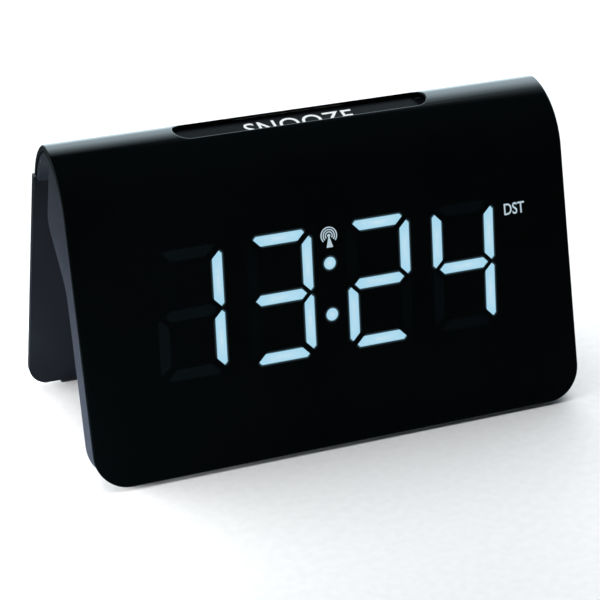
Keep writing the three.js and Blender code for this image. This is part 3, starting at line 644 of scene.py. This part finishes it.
def finishes():
    """The materials shared by several pieces, made once."""
    if not made_finishes:
        colours = bpy.context.scene.clock_finishes
        made_finishes.update(
            gloss=polished_acrylic(colours.gloss),
            shell=moulded_abs("slate_abs", colours.shell, 0.34),
            leg=moulded_abs("dark_abs", colours.leg, 0.36),
            key=moulded_abs("black_abs", colours.key, 0.3, 0.4, 0.004, 0.03),
            black=moulded_abs("component_black", hex_colour("#141517"), 0.5, 0.3, 0.01),
            ink=printing_ink(colours.ink),
            rubber=rubber_pad(),
            steel=plated_steel(),
            cell=plated_steel("cell_nickel", "#d3d4d3", "#b1b2b2"),
            board=circuit_board(),
            diffuser=milky_diffuser(hex_colour("#dfeef5")),
            white=white_abs(),
            ribbon=ribbon_film(),
            ferrite=sintered_ferrite(),
            copper=enamelled_copper(),
        )
    return made_finishes


# ---- Surfaces of reference ----------------------------------------------------


def front_axes():
    lean = bpy.context.scene.clock_cover.lean
    return facing((0, -math.cos(lean), math.sin(lean)))


def rear_axes():
    """Out of the housing's rear wall, read from behind."""
    lean = bpy.context.scene.clock_cover.lean
    return facing((0, math.cos(lean), -math.sin(lean)), -ACROSS)


def leg_axes():
    lean = bpy.context.scene.clock_cover.lean
    return facing((0, math.cos(lean), math.sin(lean)), -ACROSS)


def shelf_axes():
    tilt = bpy.context.scene.clock_controls.shelf_tilt
    return facing((0, math.sin(tilt), -math.cos(tilt)), -ACROSS)


def snooze_axes():
    tilt = bpy.context.scene.clock_controls.snooze_tilt
    return facing((0, -math.sin(tilt), math.cos(tilt)))


def front_origin():
    """Middle of the front sheet's lower front edge, along the front's axes."""
    cover = bpy.context.scene.clock_cover
    low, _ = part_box("front_cover")
    corner = Vector((0, low.y, low.z + cover.thickness * math.sin(cover.lean)))
    return front_axes().transposed() @ corner


# ---- Pieces -------------------------------------------------------------------


class CLOCK_OT_front_cover(bpy.types.Operator):
    """Models the polished sheet that is the clock's face and folds over its crown"""

    bl_idname = "clock.front_cover"
    bl_label = "Front cover"

    def bend_over(self, cover, point):
        """Spins the sheet's top edge through the crown's three bends."""
        turned = cover.lean
        # Each bend's radius, the surface direction at its end, and its steps.
        bends = (
            (cover.front_bend, cover.top_start, 24),
            (cover.top_bend, cover.top_end, 12),
            (cover.rear_bend, math.pi - cover.lean, 16),
        )
        for radius, end, steps in bends:
            inward = Vector((0, math.cos(turned), -math.sin(turned)))
            centre = point + radius * inward
            bpy.ops.mesh.spin(
                steps=steps, angle=end - turned, center=centre, axis=ACROSS, dupli=False
            )
            turned = end
            point = centre - radius * Vector((0, math.cos(turned), -math.sin(turned)))
        down = Vector((0, math.sin(cover.lean), -math.cos(cover.lean)))
        extrude(down * cover.tail)

    def recess(self, controls):
        """What the snooze bar's recess takes out of the crown."""
        bar_low, bar_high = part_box("snooze_bar")
        size = bar_high - bar_low
        inset = 2 * (controls.flange - KEY_CLEARANCE)
        size = Vector((size.x - inset, size.y - inset, 24 * MM))
        place = (bar_low + bar_high) / 2
        place.z = bar_high.z
        cutter = block("recess_cut", size, place)
        round_upright_edges(cutter, size.y / 2 - 5 * SLIVER, 16)
        return cutter

    def execute(self, context):
        cover = context.scene.clock_cover
        low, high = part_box("front_cover")
        start = Vector((0, low.y, low.z + cover.thickness * math.sin(cover.lean)))
        up = Vector((0, math.sin(cover.lean), math.cos(cover.lean)))
        sheet = plate(
            "face_sheet",
            (high.x - low.x, cover.panel),
            start + up * cover.panel / 2,
            (math.pi / 2 - cover.lean, 0, 0),
        )
        top = start + up * cover.panel
        edit(sheet, "VERT")
        pick(sheet, "verts", lambda v: v.co.z < start.z + MM)
        bpy.ops.mesh.bevel(offset=cover.corner, segments=16, affect="VERTICES")
        bpy.ops.mesh.select_mode(type="EDGE")
        pick(sheet, "edges", lambda e: middle(e).z > top.z - MM)
        self.bend_over(cover, top)
        bpy.ops.mesh.select_all(action="SELECT")
        bpy.ops.mesh.remove_doubles(threshold=0.005 * MM)
        bpy.ops.mesh.normals_make_consistent(inside=False)
        leave()
        front = max(sheet.data.polygons, key=lambda p: p.area)
        if front.normal.y > 0:
            sheet.data.flip_normals()
        modifier(sheet, "SOLIDIFY", thickness=cover.thickness, offset=-1, use_even_offset=True)
        cut(sheet, self.recess(context.scene.clock_controls))
        soften(sheet, cover.edge, 3, 50, False)
        smooth(sheet, 30)
        dressed(sheet, finishes()["gloss"], "base", "gloss_cover", "front_cover")
        return {"FINISHED"}


class CLOCK_OT_shells(bpy.types.Operator):
    """Finishes the moulded housing and the rear cover that closes it"""

    bl_idname = "clock.shells"
    bl_label = "Housing and rear cover"

    def execute(self, context):
        for node_name, piece_name in (("housing", "main_shell"), ("rear_cover", "back_shell")):
            piece = cleaned_copy(node_name, piece_name)
            soften(piece, context.scene.clock_cover.shell_edge, 2, 40)
            smooth(piece, 30)
            dressed(piece, finishes()["shell"], "base", "shell", node_name)
        return {"FINISHED"}


class CLOCK_OT_rear_leg(bpy.types.Operator):
    """Models the rear leg, a rounded plate with four sunk screw holes"""

    bl_idname = "clock.rear_leg"
    bl_label = "Rear leg"

    def execute(self, context):
        cover = context.scene.clock_cover
        axes = leg_axes()
        low, high = extent("rear_leg", axes)
        size = high - low
        leg = plate("leg_plate", (size.x, size.y))
        edit(leg, "VERT")
        pick(leg, "verts", lambda v: v.co.y < 0)
        bpy.ops.mesh.bevel(offset=cover.leg_corner, segments=14, affect="VERTICES")
        leave()
        modifier(leg, "SOLIDIFY", thickness=size.z, offset=-1)
        centre = (low + high) / 2
        for number in range(1, 5):
            screw_low, screw_high = extent(f"screw_leg_{number}", axes)
            place = (screw_low + screw_high) / 2 - centre
            place.z = 0
            cut(leg, drum("bore", cover.leg_bore, 4 * size.z, place, 32))
            cut(leg, drum("sink", cover.leg_sink, 2 * MM, place, 48))
        soften(leg, cover.leg_edge, 3, 50)
        put(leg, axes, Vector((centre.x, centre.y, high.z)))
        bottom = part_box("rear_leg")[0].z
        edit(leg)
        bpy.ops.mesh.select_all(action="SELECT")
        bpy.ops.mesh.bisect(
            plane_co=(0, 0, bottom), plane_no=(0, 0, -1), clear_outer=True, use_fill=True
        )
        leave()
        smooth(leg, 30)
        dressed(leg, finishes()["leg"], "base", "leg", "rear_leg")
        return {"FINISHED"}


class CLOCK_OT_feet(bpy.types.Operator):
    """Models the rubber feet, two wide ones in front and two narrow ones on the leg"""

    bl_idname = "clock.feet"
    bl_label = "Feet"

    def execute(self, context):
        for row in ("front", "rear"):
            low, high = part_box(f"foot_{row}_left")
            size = high - low
            pad = block(f"{row}_pad", size)
            round_upright_edges(pad, min(size.x, size.y) * 0.35, 6)
            round_faces_rim(pad, lambda f: f.normal.z < -0.9, 0.15 * MM, 2)
            smooth(pad)
            for side in ("left", "right"):
                low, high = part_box(f"foot_{row}_{side}")
                copy = duplicate(pad, f"{row}_pad_{side}")
                copy.data.transform(Matrix.Translation((low + high) / 2))
                dressed(copy, finishes()["rubber"], "base", "rubber", f"foot_{row}_{side}")
            bpy.data.objects.remove(pad)
        return {"FINISHED"}


class CLOCK_OT_screws(bpy.types.Operator):
    """Models one cross-head screw and copies it to the eight screw places"""

    bl_idname = "clock.screws"
    bl_label = "Screws"

    def screw(self, size):
        """A pan-head screw with its head's top at the origin, as long as its CAD solid."""
        radius = size.x / 2
        thick = 1.1 * MM
        shank = 0.9 * MM
        tip = 0.4 * MM
        head = drum("screw_head", radius, thick, (0, 0, -thick / 2), 32)
        round_faces_rim(head, faces_up, 0.45 * MM, 4)
        edit(head)
        pick(head, "faces", lambda f: f.normal.z < -0.9)
        bpy.ops.mesh.inset(thickness=radius - shank)
        extrude((0, 0, -(size.z - thick - tip)))
        extrude((0, 0, -tip))
        bpy.ops.transform.resize(value=(0.4, 0.4, 1))
        leave()
        for turn in (0, math.pi / 2):
            slot = block("slot_cut", (2.6 * MM, 0.55 * MM, 1.2 * MM))
            slot.data.transform(Matrix.Rotation(turn, 4, "Z"))
            cut(head, slot)
        smooth(head)
        return head

    def execute(self, context):
        places = [(f"screw_leg_{n}", leg_axes()) for n in range(1, 5)]
        for side in ("left", "right"):
            places.append((f"screw_shelf_{side}", shelf_axes()))
            places.append((f"screw_lower_{side}", rear_axes()))
        for node_name, axes in places:
            size, top = top_middle(node_name, axes)
            piece = put(self.screw(size), axes, top)
            piece.name = f"fine_{node_name}"
            dressed(piece, finishes()["steel"], "base", "screw_steel", node_name)
        return {"FINISHED"}


class CLOCK_OT_snooze_bar(bpy.types.Operator):
    """Models the snooze bar with its flange and its printed word"""

    bl_idname = "clock.snooze_bar"
    bl_label = "Snooze bar"

    def execute(self, context):
        controls = context.scene.clock_controls
        low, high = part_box("snooze_bar")
        size = high - low
        place = (low + high) / 2
        place.z = low.z + controls.flange_height / 2
        bar = block("snooze_key", (size.x, size.y, controls.flange_height), place)
        round_upright_edges(bar, size.y / 2 - 10 * SLIVER, 16)
        edit(bar)
        pick(bar, "faces", faces_up)
        bpy.ops.mesh.inset(thickness=controls.flange)
        extrude((0, 0, size.z + 5 * MM))
        axes = snooze_axes()
        _, face = extent("snooze_bar", axes)
        bpy.ops.mesh.select_all(action="SELECT")
        normal = axes.col[2]
        bpy.ops.mesh.bisect(
            plane_co=normal * face.z, plane_no=normal, clear_outer=True, use_fill=True
        )
        leave()
        round_faces_rim(bar, lambda f: f.normal.dot(normal) > 0.999, controls.snooze_round, 4)
        smooth(bar)
        dressed(bar, finishes()["key"], "snooze", "snooze_plastic", "snooze_bar")
        letters = controls.snooze_letters
        word = lettering("snooze_word", "SNOOZE", letters, 0.04 * MM, 1.06, 0.05 * MM)
        middle_up = place.dot(axes.col[1])
        put(word, axes, Vector((controls.snooze_shift, middle_up, face.z + PRINT_HEIGHT)))
        dressed(word, finishes()["ink"], "snooze", "snooze_plastic")
        return {"FINISHED"}


class CLOCK_OT_keys(bpy.types.Operator):
    """Models one key and copies it to the six places on the rear shelf"""

    bl_idname = "clock.keys"
    bl_label = "Keys"

    def key(self, size, controls):
        """A key with its face's middle at the origin."""
        wide = size.x - 2 * controls.key_flange
        deep = size.y - 2 * controls.key_flange
        base = controls.key_base
        body = block("key_shape", (size.x, size.y, base), (0, 0, base / 2 - size.z))
        edit(body)
        pick(body, "faces", faces_up)
        bpy.ops.mesh.inset(thickness=controls.key_flange)
        extrude((0, 0, size.z - base))
        bpy.ops.mesh.select_mode(type="EDGE")

        def upper_corner(edge):
            place = middle(edge)
            beside = abs(abs(place.x) - wide / 2) < 10 * SLIVER
            behind = abs(abs(place.y) - deep / 2) < 10 * SLIVER
            return abs(direction(edge).z) > 0.99 and beside and behind

        def top_face(face):
            return faces_up(face) and face.calc_center_median().z > -0.1 * MM

        pick(body, "edges", upper_corner)
        bpy.ops.mesh.bevel(offset=controls.key_corner, segments=6, affect="EDGES")
        leave()
        round_faces_rim(body, top_face, controls.key_round, 4)
        smooth(body)
        return body

    def execute(self, context):
        controls = context.scene.clock_controls
        axes = shelf_axes()
        size, _ = top_middle("key_time", axes)
        master = self.key(size, controls)
        for name in ("time", "alarm", "plus", "minus", "wave", "dimmer"):
            _, face = top_middle(f"key_{name}", axes)
            piece = put(duplicate(master, f"button_{name}"), axes, face)
            dressed(piece, finishes()["key"], f"key_{name}_body", "key_plastic", f"key_{name}")
        bpy.data.objects.remove(master)
        return {"FINISHED"}


class CLOCK_OT_alarm_switch(bpy.types.Operator):
    """Models the ribbed thumb of the alarm slide switch"""

    bl_idname = "clock.alarm_switch"
    bl_label = "Alarm switch"

    def execute(self, context):
        axes = shelf_axes()
        size, top = top_middle("alarm_switch_knob", axes)
        thumb = block("alarm_thumb", size, (0, 0, -size.z / 2))
        groove = (0.45 * MM, 6 * MM, 0.8 * MM)
        for offset in (-1.0, 0.0, 1.0):
            cut(thumb, block("groove_cut", groove, (offset * MM, 0, 0)))
        soften(thumb, 0.12 * MM, 2, 40)
        smooth(thumb)
        put(thumb, axes, top)
        dressed(thumb, finishes()["key"], "alarm_knob", "key_plastic", "alarm_switch_knob")
        return {"FINISHED"}


class CLOCK_OT_battery_cap(bpy.types.Operator):
    """Models the battery cap with a coin slot and a knurled rim"""

    bl_idname = "clock.battery_cap"
    bl_label = "Battery cap"

    def execute(self, context):
        axes = rear_axes()
        size, top = top_middle("battery_cap", axes)
        radius = size.x / 2
        rim_height = 0.9 * MM
        cap = drum("cap_disc", radius, rim_height, (0, 0, -rim_height / 2), 96)
        edit(cap)
        pick(cap, "faces", lambda f: f.normal.z < -0.9)
        bpy.ops.mesh.inset(thickness=1.5 * MM)
        extrude((0, 0, rim_height - size.z))
        leave()
        cut(cap, block("coin_slot", (13 * MM, 1.6 * MM, 1.2 * MM)))
        notches = 24
        for number in range(notches):
            turn = math.tau * number / notches
            place = (radius * math.cos(turn), radius * math.sin(turn), 0)
            cut(cap, drum("notch", 0.35 * MM, 4 * MM, place, 8))
        soften(cap, 0.15 * MM, 2, 45)
        smooth(cap)
        put(cap, axes, top)
        dressed(cap, finishes()["key"], "cap", "key_plastic", "battery_cap")
        return {"FINISHED"}


class CLOCK_OT_legends(bpy.types.Operator):
    """Prints the plain words beside the keys and the switch"""

    bl_idname = "clock.legends"
    bl_label = "Legends"

    def execute(self, context):
        controls = context.scene.clock_controls
        axes = shelf_axes()
        shelf_face = self.shelf_height(axes)
        words = {
            "key_time": "TIME",
            "key_alarm": "ALARM",
            "key_plus": "+",
            "key_minus": "–",
            "key_wave": "WAVE",
            "key_dimmer": "DIMMER",
            "alarm_switch_body": "OFF  ON",
        }
        for node_name, text in words.items():
            size, top = top_middle(node_name, axes)
            name = node_name.replace("key_", "").replace("_switch_body", "_slide")
            word = lettering(f"legend_{name}", text, controls.legend)
            below = top.y - size.y / 2 - controls.legend_gap
            put(word, axes, Vector((top.x, below, shelf_face + PRINT_HEIGHT)))
            dressed(word, finishes()["ink"], "base", "shell")
        return {"FINISHED"}

    def shelf_height(self, axes):
        """Height of the shelf's face, from the faces of the rear cover that lie along it."""
        mesh = frame["nodes"]["rear_cover"].data
        normal = axes.col[2]
        heights = {}
        for face in mesh.polygons:
            if face.normal.dot(normal) > 0.9999:
                level = round(face.center.dot(normal), 6)
                heights[level] = heights.get(level, 0) + face.area
        return max(heights, key=heights.get)


# ---- Display --------------------------------------------------------------------

# Which segments make the time 13:24. A top, B and C right, D bottom, E and F left, G middle.
SHOWN = ("BC", "ABCDG", "ABDEG", "BCFG")
FITTED = ("ABCDEG", "ABCDEFG", "ABCDEFG", "ABCDEFG")

# How strongly the painted glow over each digit's unlit light cups shines, as a share of a lit
# segment.
CUP_GLOW_SHARES = (0.0042, 0.0012, 0.0012, 0.0024)
FRINGE_SHARE = 0.16  # the same for the fringe of light round a lit segment
TIP_SHARE = 0.28  # where an outer segment's tips lie across its thickness


class SegmentMaker:
    """Makes the flat outlines of the display's segments, face up."""

    def __init__(self, display):
        self.display = display
        self.shear = math.tan(display.slant)

    def places(self, digit):
        """Each segment's centre, length, whether it is upright and its outer side."""
        d = self.display
        x = d.shift + (-d.outer, -d.inner, d.inner, d.outer)[digit]
        wide = d.width - d.spacing
        tall = d.half_height - d.spacing
        side = d.width / 2
        rise = d.half_height / 2
        return {
            "A": (x, d.half_height, wide, 0, 1),
            "G": (x, 0, wide, 0, 0),
            "D": (x, -d.half_height, wide, 0, -1),
            "B": (x + side, rise, tall, 1, -1),
            "C": (x + side, -rise, tall, 1, -1),
            "F": (x - side, rise, tall, 1, 1),
            "E": (x - side, -rise, tall, 1, 1),
        }

    def segment(self, place, grow=0.0):
        """One pointed segment; a digit's outer ones have their tips nearer the outer side."""
        x, up, span, upright, outer = place
        wide = self.display.thickness + 2 * grow
        shape = plate("segment", (span + 2 * grow, wide))
        end = span / 2 + grow - SLIVER
        upper = {1: TIP_SHARE, 0: 0.5, -1: 1 - TIP_SHARE}[outer]
        for side, share in ((1, upper), (-1, 1 - upper)):
            edit(shape, "VERT")
            top = wide / 2 - SLIVER
            pick(shape, "verts", lambda v: abs(v.co.x) > end and v.co.y * side > top)
            bpy.ops.mesh.bevel(offset=share * wide * 0.998, segments=1, affect="VERTICES")
            leave()
        merge(shape, 0.02 * MM)
        turn = Matrix.Rotation(math.pi / 2 * upright, 4, "Z")
        shape.data.transform(Matrix.Translation((x, up, 0)) @ turn)
        return shape

    def slanted(self, shape):
        """Slants a shape about the digits' middle and lifts it to its height up the panel."""
        slant = Matrix.Identity(4)
        slant[0][1] = self.shear
        shape.data.transform(Matrix.Translation((0, self.display.middle, 0)) @ slant)
        return shape


def glowing(shape, change=None, **settings):
    """Adds points inside a shape's faces and stores its glow: 1 at those points, 0 at the rest."""
    outline = {tuple(round(c, 7) for c in v.co) for v in shape.data.vertices}
    if change:
        edit(shape)
        bpy.ops.mesh.select_all(action="SELECT")
        change(**settings)
        leave()
    layer = shape.data.attributes.new("glow", "FLOAT", "POINT")
    for vertex in shape.data.vertices:
        added = tuple(round(c, 7) for c in vertex.co) not in outline
        layer.data[vertex.index].value = 1.0 if added else 0.0
    return shape


def poked(shape):
    """Makes each face's middle its brightest point."""
    return glowing(shape, bpy.ops.mesh.poke)


def haloed(shape, width):
    """Makes a band inside each face's outline, over which the glow rises from nothing."""
    return glowing(shape, bpy.ops.mesh.inset, thickness=width, use_individual=True)


def onto_panel(shape, height, thickness):
    """Lays a flat shape on the front face, proud of it by height, and gives it a body."""
    edit(shape)
    bpy.ops.mesh.select_all(action="SELECT")
    bpy.ops.mesh.normals_make_consistent(inside=False)
    leave()
    if shape.data.polygons[0].normal.z < 0:
        shape.data.flip_normals()
    modifier(shape, "SOLIDIFY", thickness=thickness, offset=-1)
    return put(shape, front_axes(), front_origin() + Vector((0, 0, height)))


class CLOCK_OT_display(bpy.types.Operator):
    """Models what shines through the front sheet: digits, colon, antenna sign and DST sign"""

    bl_idname = "clock.display"
    bl_label = "Lit display"

    def waves(self, radius, width, place):
        """One ring of the antenna sign, open at the bottom."""
        ring = plate("wave", (width, 20 * SLIVER), (radius, 0, 0))
        edit(ring)
        bpy.ops.mesh.select_all(action="SELECT")
        bpy.ops.mesh.delete(type="ONLY_FACE")
        bpy.ops.mesh.select_mode(type="EDGE")
        pick(ring, "edges", lambda e: middle(e).y > 0)
        bpy.ops.mesh.spin(
            steps=30, angle=math.radians(262), center=(0, 0, 0), axis=(0, 0, 1), dupli=False
        )
        leave()
        merge(ring, 0.03 * MM)
        edit(ring, "VERT")
        bpy.ops.mesh.select_all(action="SELECT")
        bpy.ops.mesh.delete_loose(use_verts=True, use_edges=True, use_faces=False)
        leave()
        opening_down = Matrix.Rotation(math.radians(221), 4, "Z")
        ring.data.transform(Matrix.Translation((*place, 0)) @ opening_down)
        return ring

    def antenna(self, display):
        """A mast with a dot at its tip and three waves round it, as flat shapes."""
        x, up = display.antenna_x, display.antenna_up
        tip = (x, up + 0.9 * MM)
        mast = plate("mast", (1.2 * MM, 3.6 * MM))
        edit(mast, "VERT")
        for side, widening in ((1, 0.25), (-1, 1.9)):
            pick(mast, "verts", lambda v: v.co.y * side > 0)
            bpy.ops.transform.resize(value=(widening, 1, 1))
        leave()
        mast.data.transform(Matrix.Translation((x, up - 1.2 * MM, 0)))
        dot = disc("tip", 0.55 * MM, tip, 20)
        rings = [self.waves(radius * MM, display.wave, tip) for radius in (1.2, 1.95, 2.7)]
        return join("lit_antenna", mast, dot, *rings)

    def lit_and_fringe(self, name, shapes, grown, width, finish):
        """A lit window and the fringe of light round it, slanted and laid on the panel."""
        lit = poked(self.maker.slanted(join(f"lit_{name}", *shapes)))
        onto_panel(lit, *LIT_LAYER)
        dressed(lit, finish[0], "base", "diffuser_plastic")
        fringe = haloed(self.maker.slanted(join(f"glow_{name}", *grown)), width)
        onto_panel(fringe, *GLOW_LAYER)
        dressed(fringe, finish[1], "base", "gloss_cover")

    def execute(self, context):
        display = context.scene.clock_display
        colours = context.scene.clock_finishes
        maker = self.maker = SegmentMaker(display)
        halo = display.halo
        shining = shining_window(colours.lit, colours.lit_core, display.brightness)
        finish = (shining, glowing_acrylic(colours.gloss, colours.lit, FRINGE_SHARE))
        for digit, letters in enumerate(SHOWN):
            places = [maker.places(digit)[letter] for letter in letters]
            lit = [maker.segment(place) for place in places]
            grown = [maker.segment(place, halo) for place in places]
            self.lit_and_fringe(f"digit_{digit + 1}", lit, grown, halo, finish)
        spots = [(display.shift, side * display.dot_offset) for side in (-1, 1)]
        dots = [disc("dot", display.dot, spot) for spot in spots]
        halos = [disc("dot", display.dot + halo, spot) for spot in spots]
        self.lit_and_fringe("colon", dots, halos, halo, finish)
        pale = shining_window(colours.sign, colours.sign_core, display.brightness)
        sign = glowing(self.antenna(display))
        dressed(onto_panel(sign, *LIT_LAYER), pale, "base", "diffuser_plastic")
        size = display.word_size
        word = glowing(lettering("lit_dst", "DST", size, LIT_LAYER[1], 1.0, 0.06 * MM, 0.8))
        place = Vector((display.word_x, display.word_up, 0.035 * MM))
        put(word, front_axes(), front_origin() + place)
        dressed(word, pale, "base", "diffuser_plastic")
        return {"FINISHED"}


class CLOCK_OT_unlit(bpy.types.Operator):
    """Paints a faint glow on the front sheet over the unlit light cups, which are no lamps: painted
    light
    """

    bl_idname = "clock.unlit"
    bl_label = "Unlit segments"

    def execute(self, context):
        display = context.scene.clock_display
        colours = context.scene.clock_finishes
        maker = SegmentMaker(display)
        for digit, letters in enumerate(FITTED):
            unlit = [letter for letter in letters if letter not in SHOWN[digit]]
            places = maker.places(digit)
            # Painted light: the unlit cups are drawn as an emitting layer on the front sheet, at a
            # small share of the lit colour.
            faint = glowing_acrylic(colours.gloss, colours.lit, CUP_GLOW_SHARES[digit])
            faint.name = f"dim_acrylic_{digit + 1}"
            cups = [maker.segment(places[letter], display.cup) for letter in unlit]
            piece = haloed(maker.slanted(join(f"unlit_digit_{digit + 1}", *cups)), display.cup_edge)
            onto_panel(piece, *CUP_GLOW_LAYER)
            dressed(piece, faint, "base", "gloss_cover")
        return {"FINISHED"}


class CLOCK_OT_inner_parts(bpy.types.Operator):
    """Gives the parts that keep their CAD shape their real finishes"""

    bl_idname = "clock.inner_parts"
    bl_label = "Inner parts"

    def execute(self, context):
        by_slot = {
            "screw_steel": "steel",
            "black_plastic": "black",
            "circuit_board": "board",
            "cell_steel": "cell",
            "diffuser_plastic": "diffuser",
            "white_plastic": "white",
            "ribbon_plastic": "ribbon",
            "ferrite": "ferrite",
            "copper": "copper",
            "gloss_cover": "gloss",
            "shell": "shell",
            "leg": "leg",
            "rubber": "rubber",
            "snooze_plastic": "key",
            "key_plastic": "key",
        }
        for row in frame["record"]["subparts"]:
            part = frame["nodes"][row["node"]]
            part.data.materials.clear()
            part.data.materials.append(finishes()[by_slot[row["material_slot"]]])
        return {"FINISHED"}


# ---- Stage ------------------------------------------------------------------------

# Each lamp's name, place, aim, size in metres and power in watts.
LIGHTS = (
    ("left_light", (-0.14, 0.01, 0.014), (0, 0.01, 0.014), (0.2, 0.02), 0.34),
    ("top_light", (0.1, 0.3, 1.3), (0, 0, 0), (1.4, 1.4), 22),
    ("rear_light", (0.5, 1.2, 0.5), (0, 0, 0.05), (0.8, 0.6), 8),
)


class StageSettings(bpy.types.PropertyGroup):
    azimuth: angle("Azimuth", "Where the camera stands round the clock", -22.18)
    elevation: angle("Elevation", "How far the camera looks down", 25.6)
    distance: length("Distance", "From the camera to the clock's middle", 708.2)
    aim_shift: length("Aim shift", "Place across of the point the camera looks at", -1.0)
    aim_height: length("Aim height", "Height of the point the camera looks at", 35.4)
    lens: FloatProperty(name="Lens", description="Focal length in millimetres", default=125.93)
    floor_front: length("Floor front", "How far the floor reaches in front of the clock", 300)
    floor_reach: length("Floor reach", "How far the floor reaches behind and beside it", 1500)


class CLOCK_OT_stage(bpy.types.Operator):
    """Lays the floor, hangs the soft lights and sets the camera"""

    bl_idname = "clock.stage"
    bl_label = "Stage"

    def floor(self, stage):
        reach = stage.floor_reach
        deep = reach + stage.floor_front
        slab = plate("floor", (2 * reach, deep), (0, (reach - stage.floor_front) / 2, 0))
        slab.data.materials.append(matt_paper())
        slab.visible_glossy = False

    def soft_light(self, name, place, aim, size, power):
        """A soft lamp that neither the camera nor a reflection sees."""
        data = bpy.data.lights.new(name, "AREA")
        data.shape = "RECTANGLE"
        data.size, data.size_y = size
        data.energy = power
        lamp = bpy.data.objects.new(name, data)
        lamp.location = place
        lamp.rotation_mode = "QUATERNION"
        lamp.rotation_quaternion = (Vector(aim) - Vector(place)).to_track_quat("-Z", "Y")
        lamp.visible_glossy = False
        lamp.visible_camera = False
        bpy.context.scene.collection.objects.link(lamp)

    def fade(self, tree, source, start, end, low=0.0, high=1.0):
        """A smooth change from low to high as the source goes from start to end."""
        limits = {"From_Min": start, "From_Max": end, "To_Min": low, "To_Max": high}
        links = {"Value": source}
        made = node(tree, "ShaderNodeMapRange", links, interpolation_type="SMOOTHSTEP", **limits)
        return made.outputs["Result"]

    def product(self, tree, *factors):
        total = factors[0]
        for factor in factors[1:]:
            made = node(tree, "ShaderNodeMath", {0: total, 1: factor}, operation="MULTIPLY")
            total = made.outputs["Value"]
        return total

    def studio(self):
        """A white room for the eye; in reflections, dark but for a bright backdrop behind."""
        world = bpy.data.worlds.new("studio")
        bpy.context.scene.world = world
        world.use_nodes = True
        tree = world.node_tree
        tree.nodes.clear()
        place = node(tree, "ShaderNodeTexCoord")
        parts = node(tree, "ShaderNodeSeparateXYZ", {"Vector": place.outputs["Generated"]})
        ray = node(tree, "ShaderNodeLightPath")
        behind = self.fade(tree, parts.outputs["Y"], -0.1, 0.3)
        low = self.fade(tree, parts.outputs["Z"], 0.6, 0.89, 1.0, 0.0)
        raised = self.fade(tree, parts.outputs["Z"], -0.4, 0.3, 0.12, 1.0)
        right = self.fade(tree, parts.outputs["X"], -0.15, 0.2, 0.12, 1.0)
        gain = self.fade(tree, ray.outputs["Is Glossy Ray"], 0.0, 1.0, 0.9, 3.5)
        bright = self.product(tree, behind, low, right, raised, gain)
        level = node(tree, "ShaderNodeMath", {0: bright}, operation="ADD")
        level.inputs[1].default_value = 0.02
        room = node(tree, "ShaderNodeBackground", {"Strength": level.outputs["Value"]})
        room.inputs["Color"].default_value = (0.74, 0.91, 1.0, 1)
        white = node(tree, "ShaderNodeBackground")
        white.inputs["Color"].default_value = (1, 1, 1, 1)
        mix = node(tree, "ShaderNodeMixShader", {"Fac": ray.outputs["Is Camera Ray"]})
        tree.links.new(room.outputs["Background"], mix.inputs[1])
        tree.links.new(white.outputs["Background"], mix.inputs[2])
        node(tree, "ShaderNodeOutputWorld", {"Surface": mix.outputs["Shader"]})

    def camera(self, stage):
        data = bpy.data.cameras.new("camera")
        data.lens = stage.lens
        data.sensor_width = 36
        camera = bpy.data.objects.new("camera", data)
        level = math.cos(stage.elevation)
        east = math.sin(stage.azimuth) * level
        north = -math.cos(stage.azimuth) * level
        back = Vector((east, north, math.sin(stage.elevation)))
        aim = Vector((stage.aim_shift, 0, stage.aim_height))
        camera.location = aim + back * stage.distance
        camera.rotation_mode = "QUATERNION"
        camera.rotation_quaternion = (-back).to_track_quat("-Z", "Y")
        bpy.context.scene.collection.objects.link(camera)
        bpy.context.scene.camera = camera

    def execute(self, context):
        stage = context.scene.clock_stage
        self.floor(stage)
        self.studio()
        for name, *light in LIGHTS:
            self.soft_light(name, *light)
        self.camera(stage)
        context.scene.view_settings.view_transform = "Standard"
        return {"FINISHED"}


PIECES = (
    CLOCK_OT_inner_parts,
    CLOCK_OT_front_cover,
    CLOCK_OT_shells,
    CLOCK_OT_rear_leg,
    CLOCK_OT_feet,
    CLOCK_OT_screws,
    CLOCK_OT_snooze_bar,
    CLOCK_OT_keys,
    CLOCK_OT_alarm_switch,
    CLOCK_OT_battery_cap,
    CLOCK_OT_legends,
    CLOCK_OT_unlit,
    CLOCK_OT_display,
    CLOCK_OT_stage,
)


class CLOCK_PT_pieces(bpy.types.Panel):
    """Lists the clock's pieces"""

    bl_idname = "CLOCK_PT_pieces"
    bl_label = "Alarm clock"
    bl_space_type = "VIEW_3D"
    bl_region_type = "UI"
    bl_category = "Clock"

    def draw(self, context):
        for piece in PIECES:
            self.layout.operator(piece.bl_idname)


SETTINGS = {
    "clock_cover": CoverSettings,
    "clock_controls": ControlSettings,
    "clock_display": DisplaySettings,
    "clock_finishes": FinishSettings,
    "clock_stage": StageSettings,
}


def register():
    for kind in (*SETTINGS.values(), *PIECES, CLOCK_PT_pieces):
        bpy.utils.register_class(kind)
    for name, kind in SETTINGS.items():
        setattr(bpy.types.Scene, name, PointerProperty(type=kind))


def unregister():
    for name in SETTINGS:
        delattr(bpy.types.Scene, name)
    for kind in (CLOCK_PT_pieces, *reversed(PIECES), *reversed(SETTINGS.values())):
        bpy.utils.unregister_class(kind)


def main():
    register()
    for piece in PIECES:
        group, name = piece.bl_idname.split(".")
        getattr(getattr(bpy.ops, group), name)()


if __name__ == "__main__":
    main()
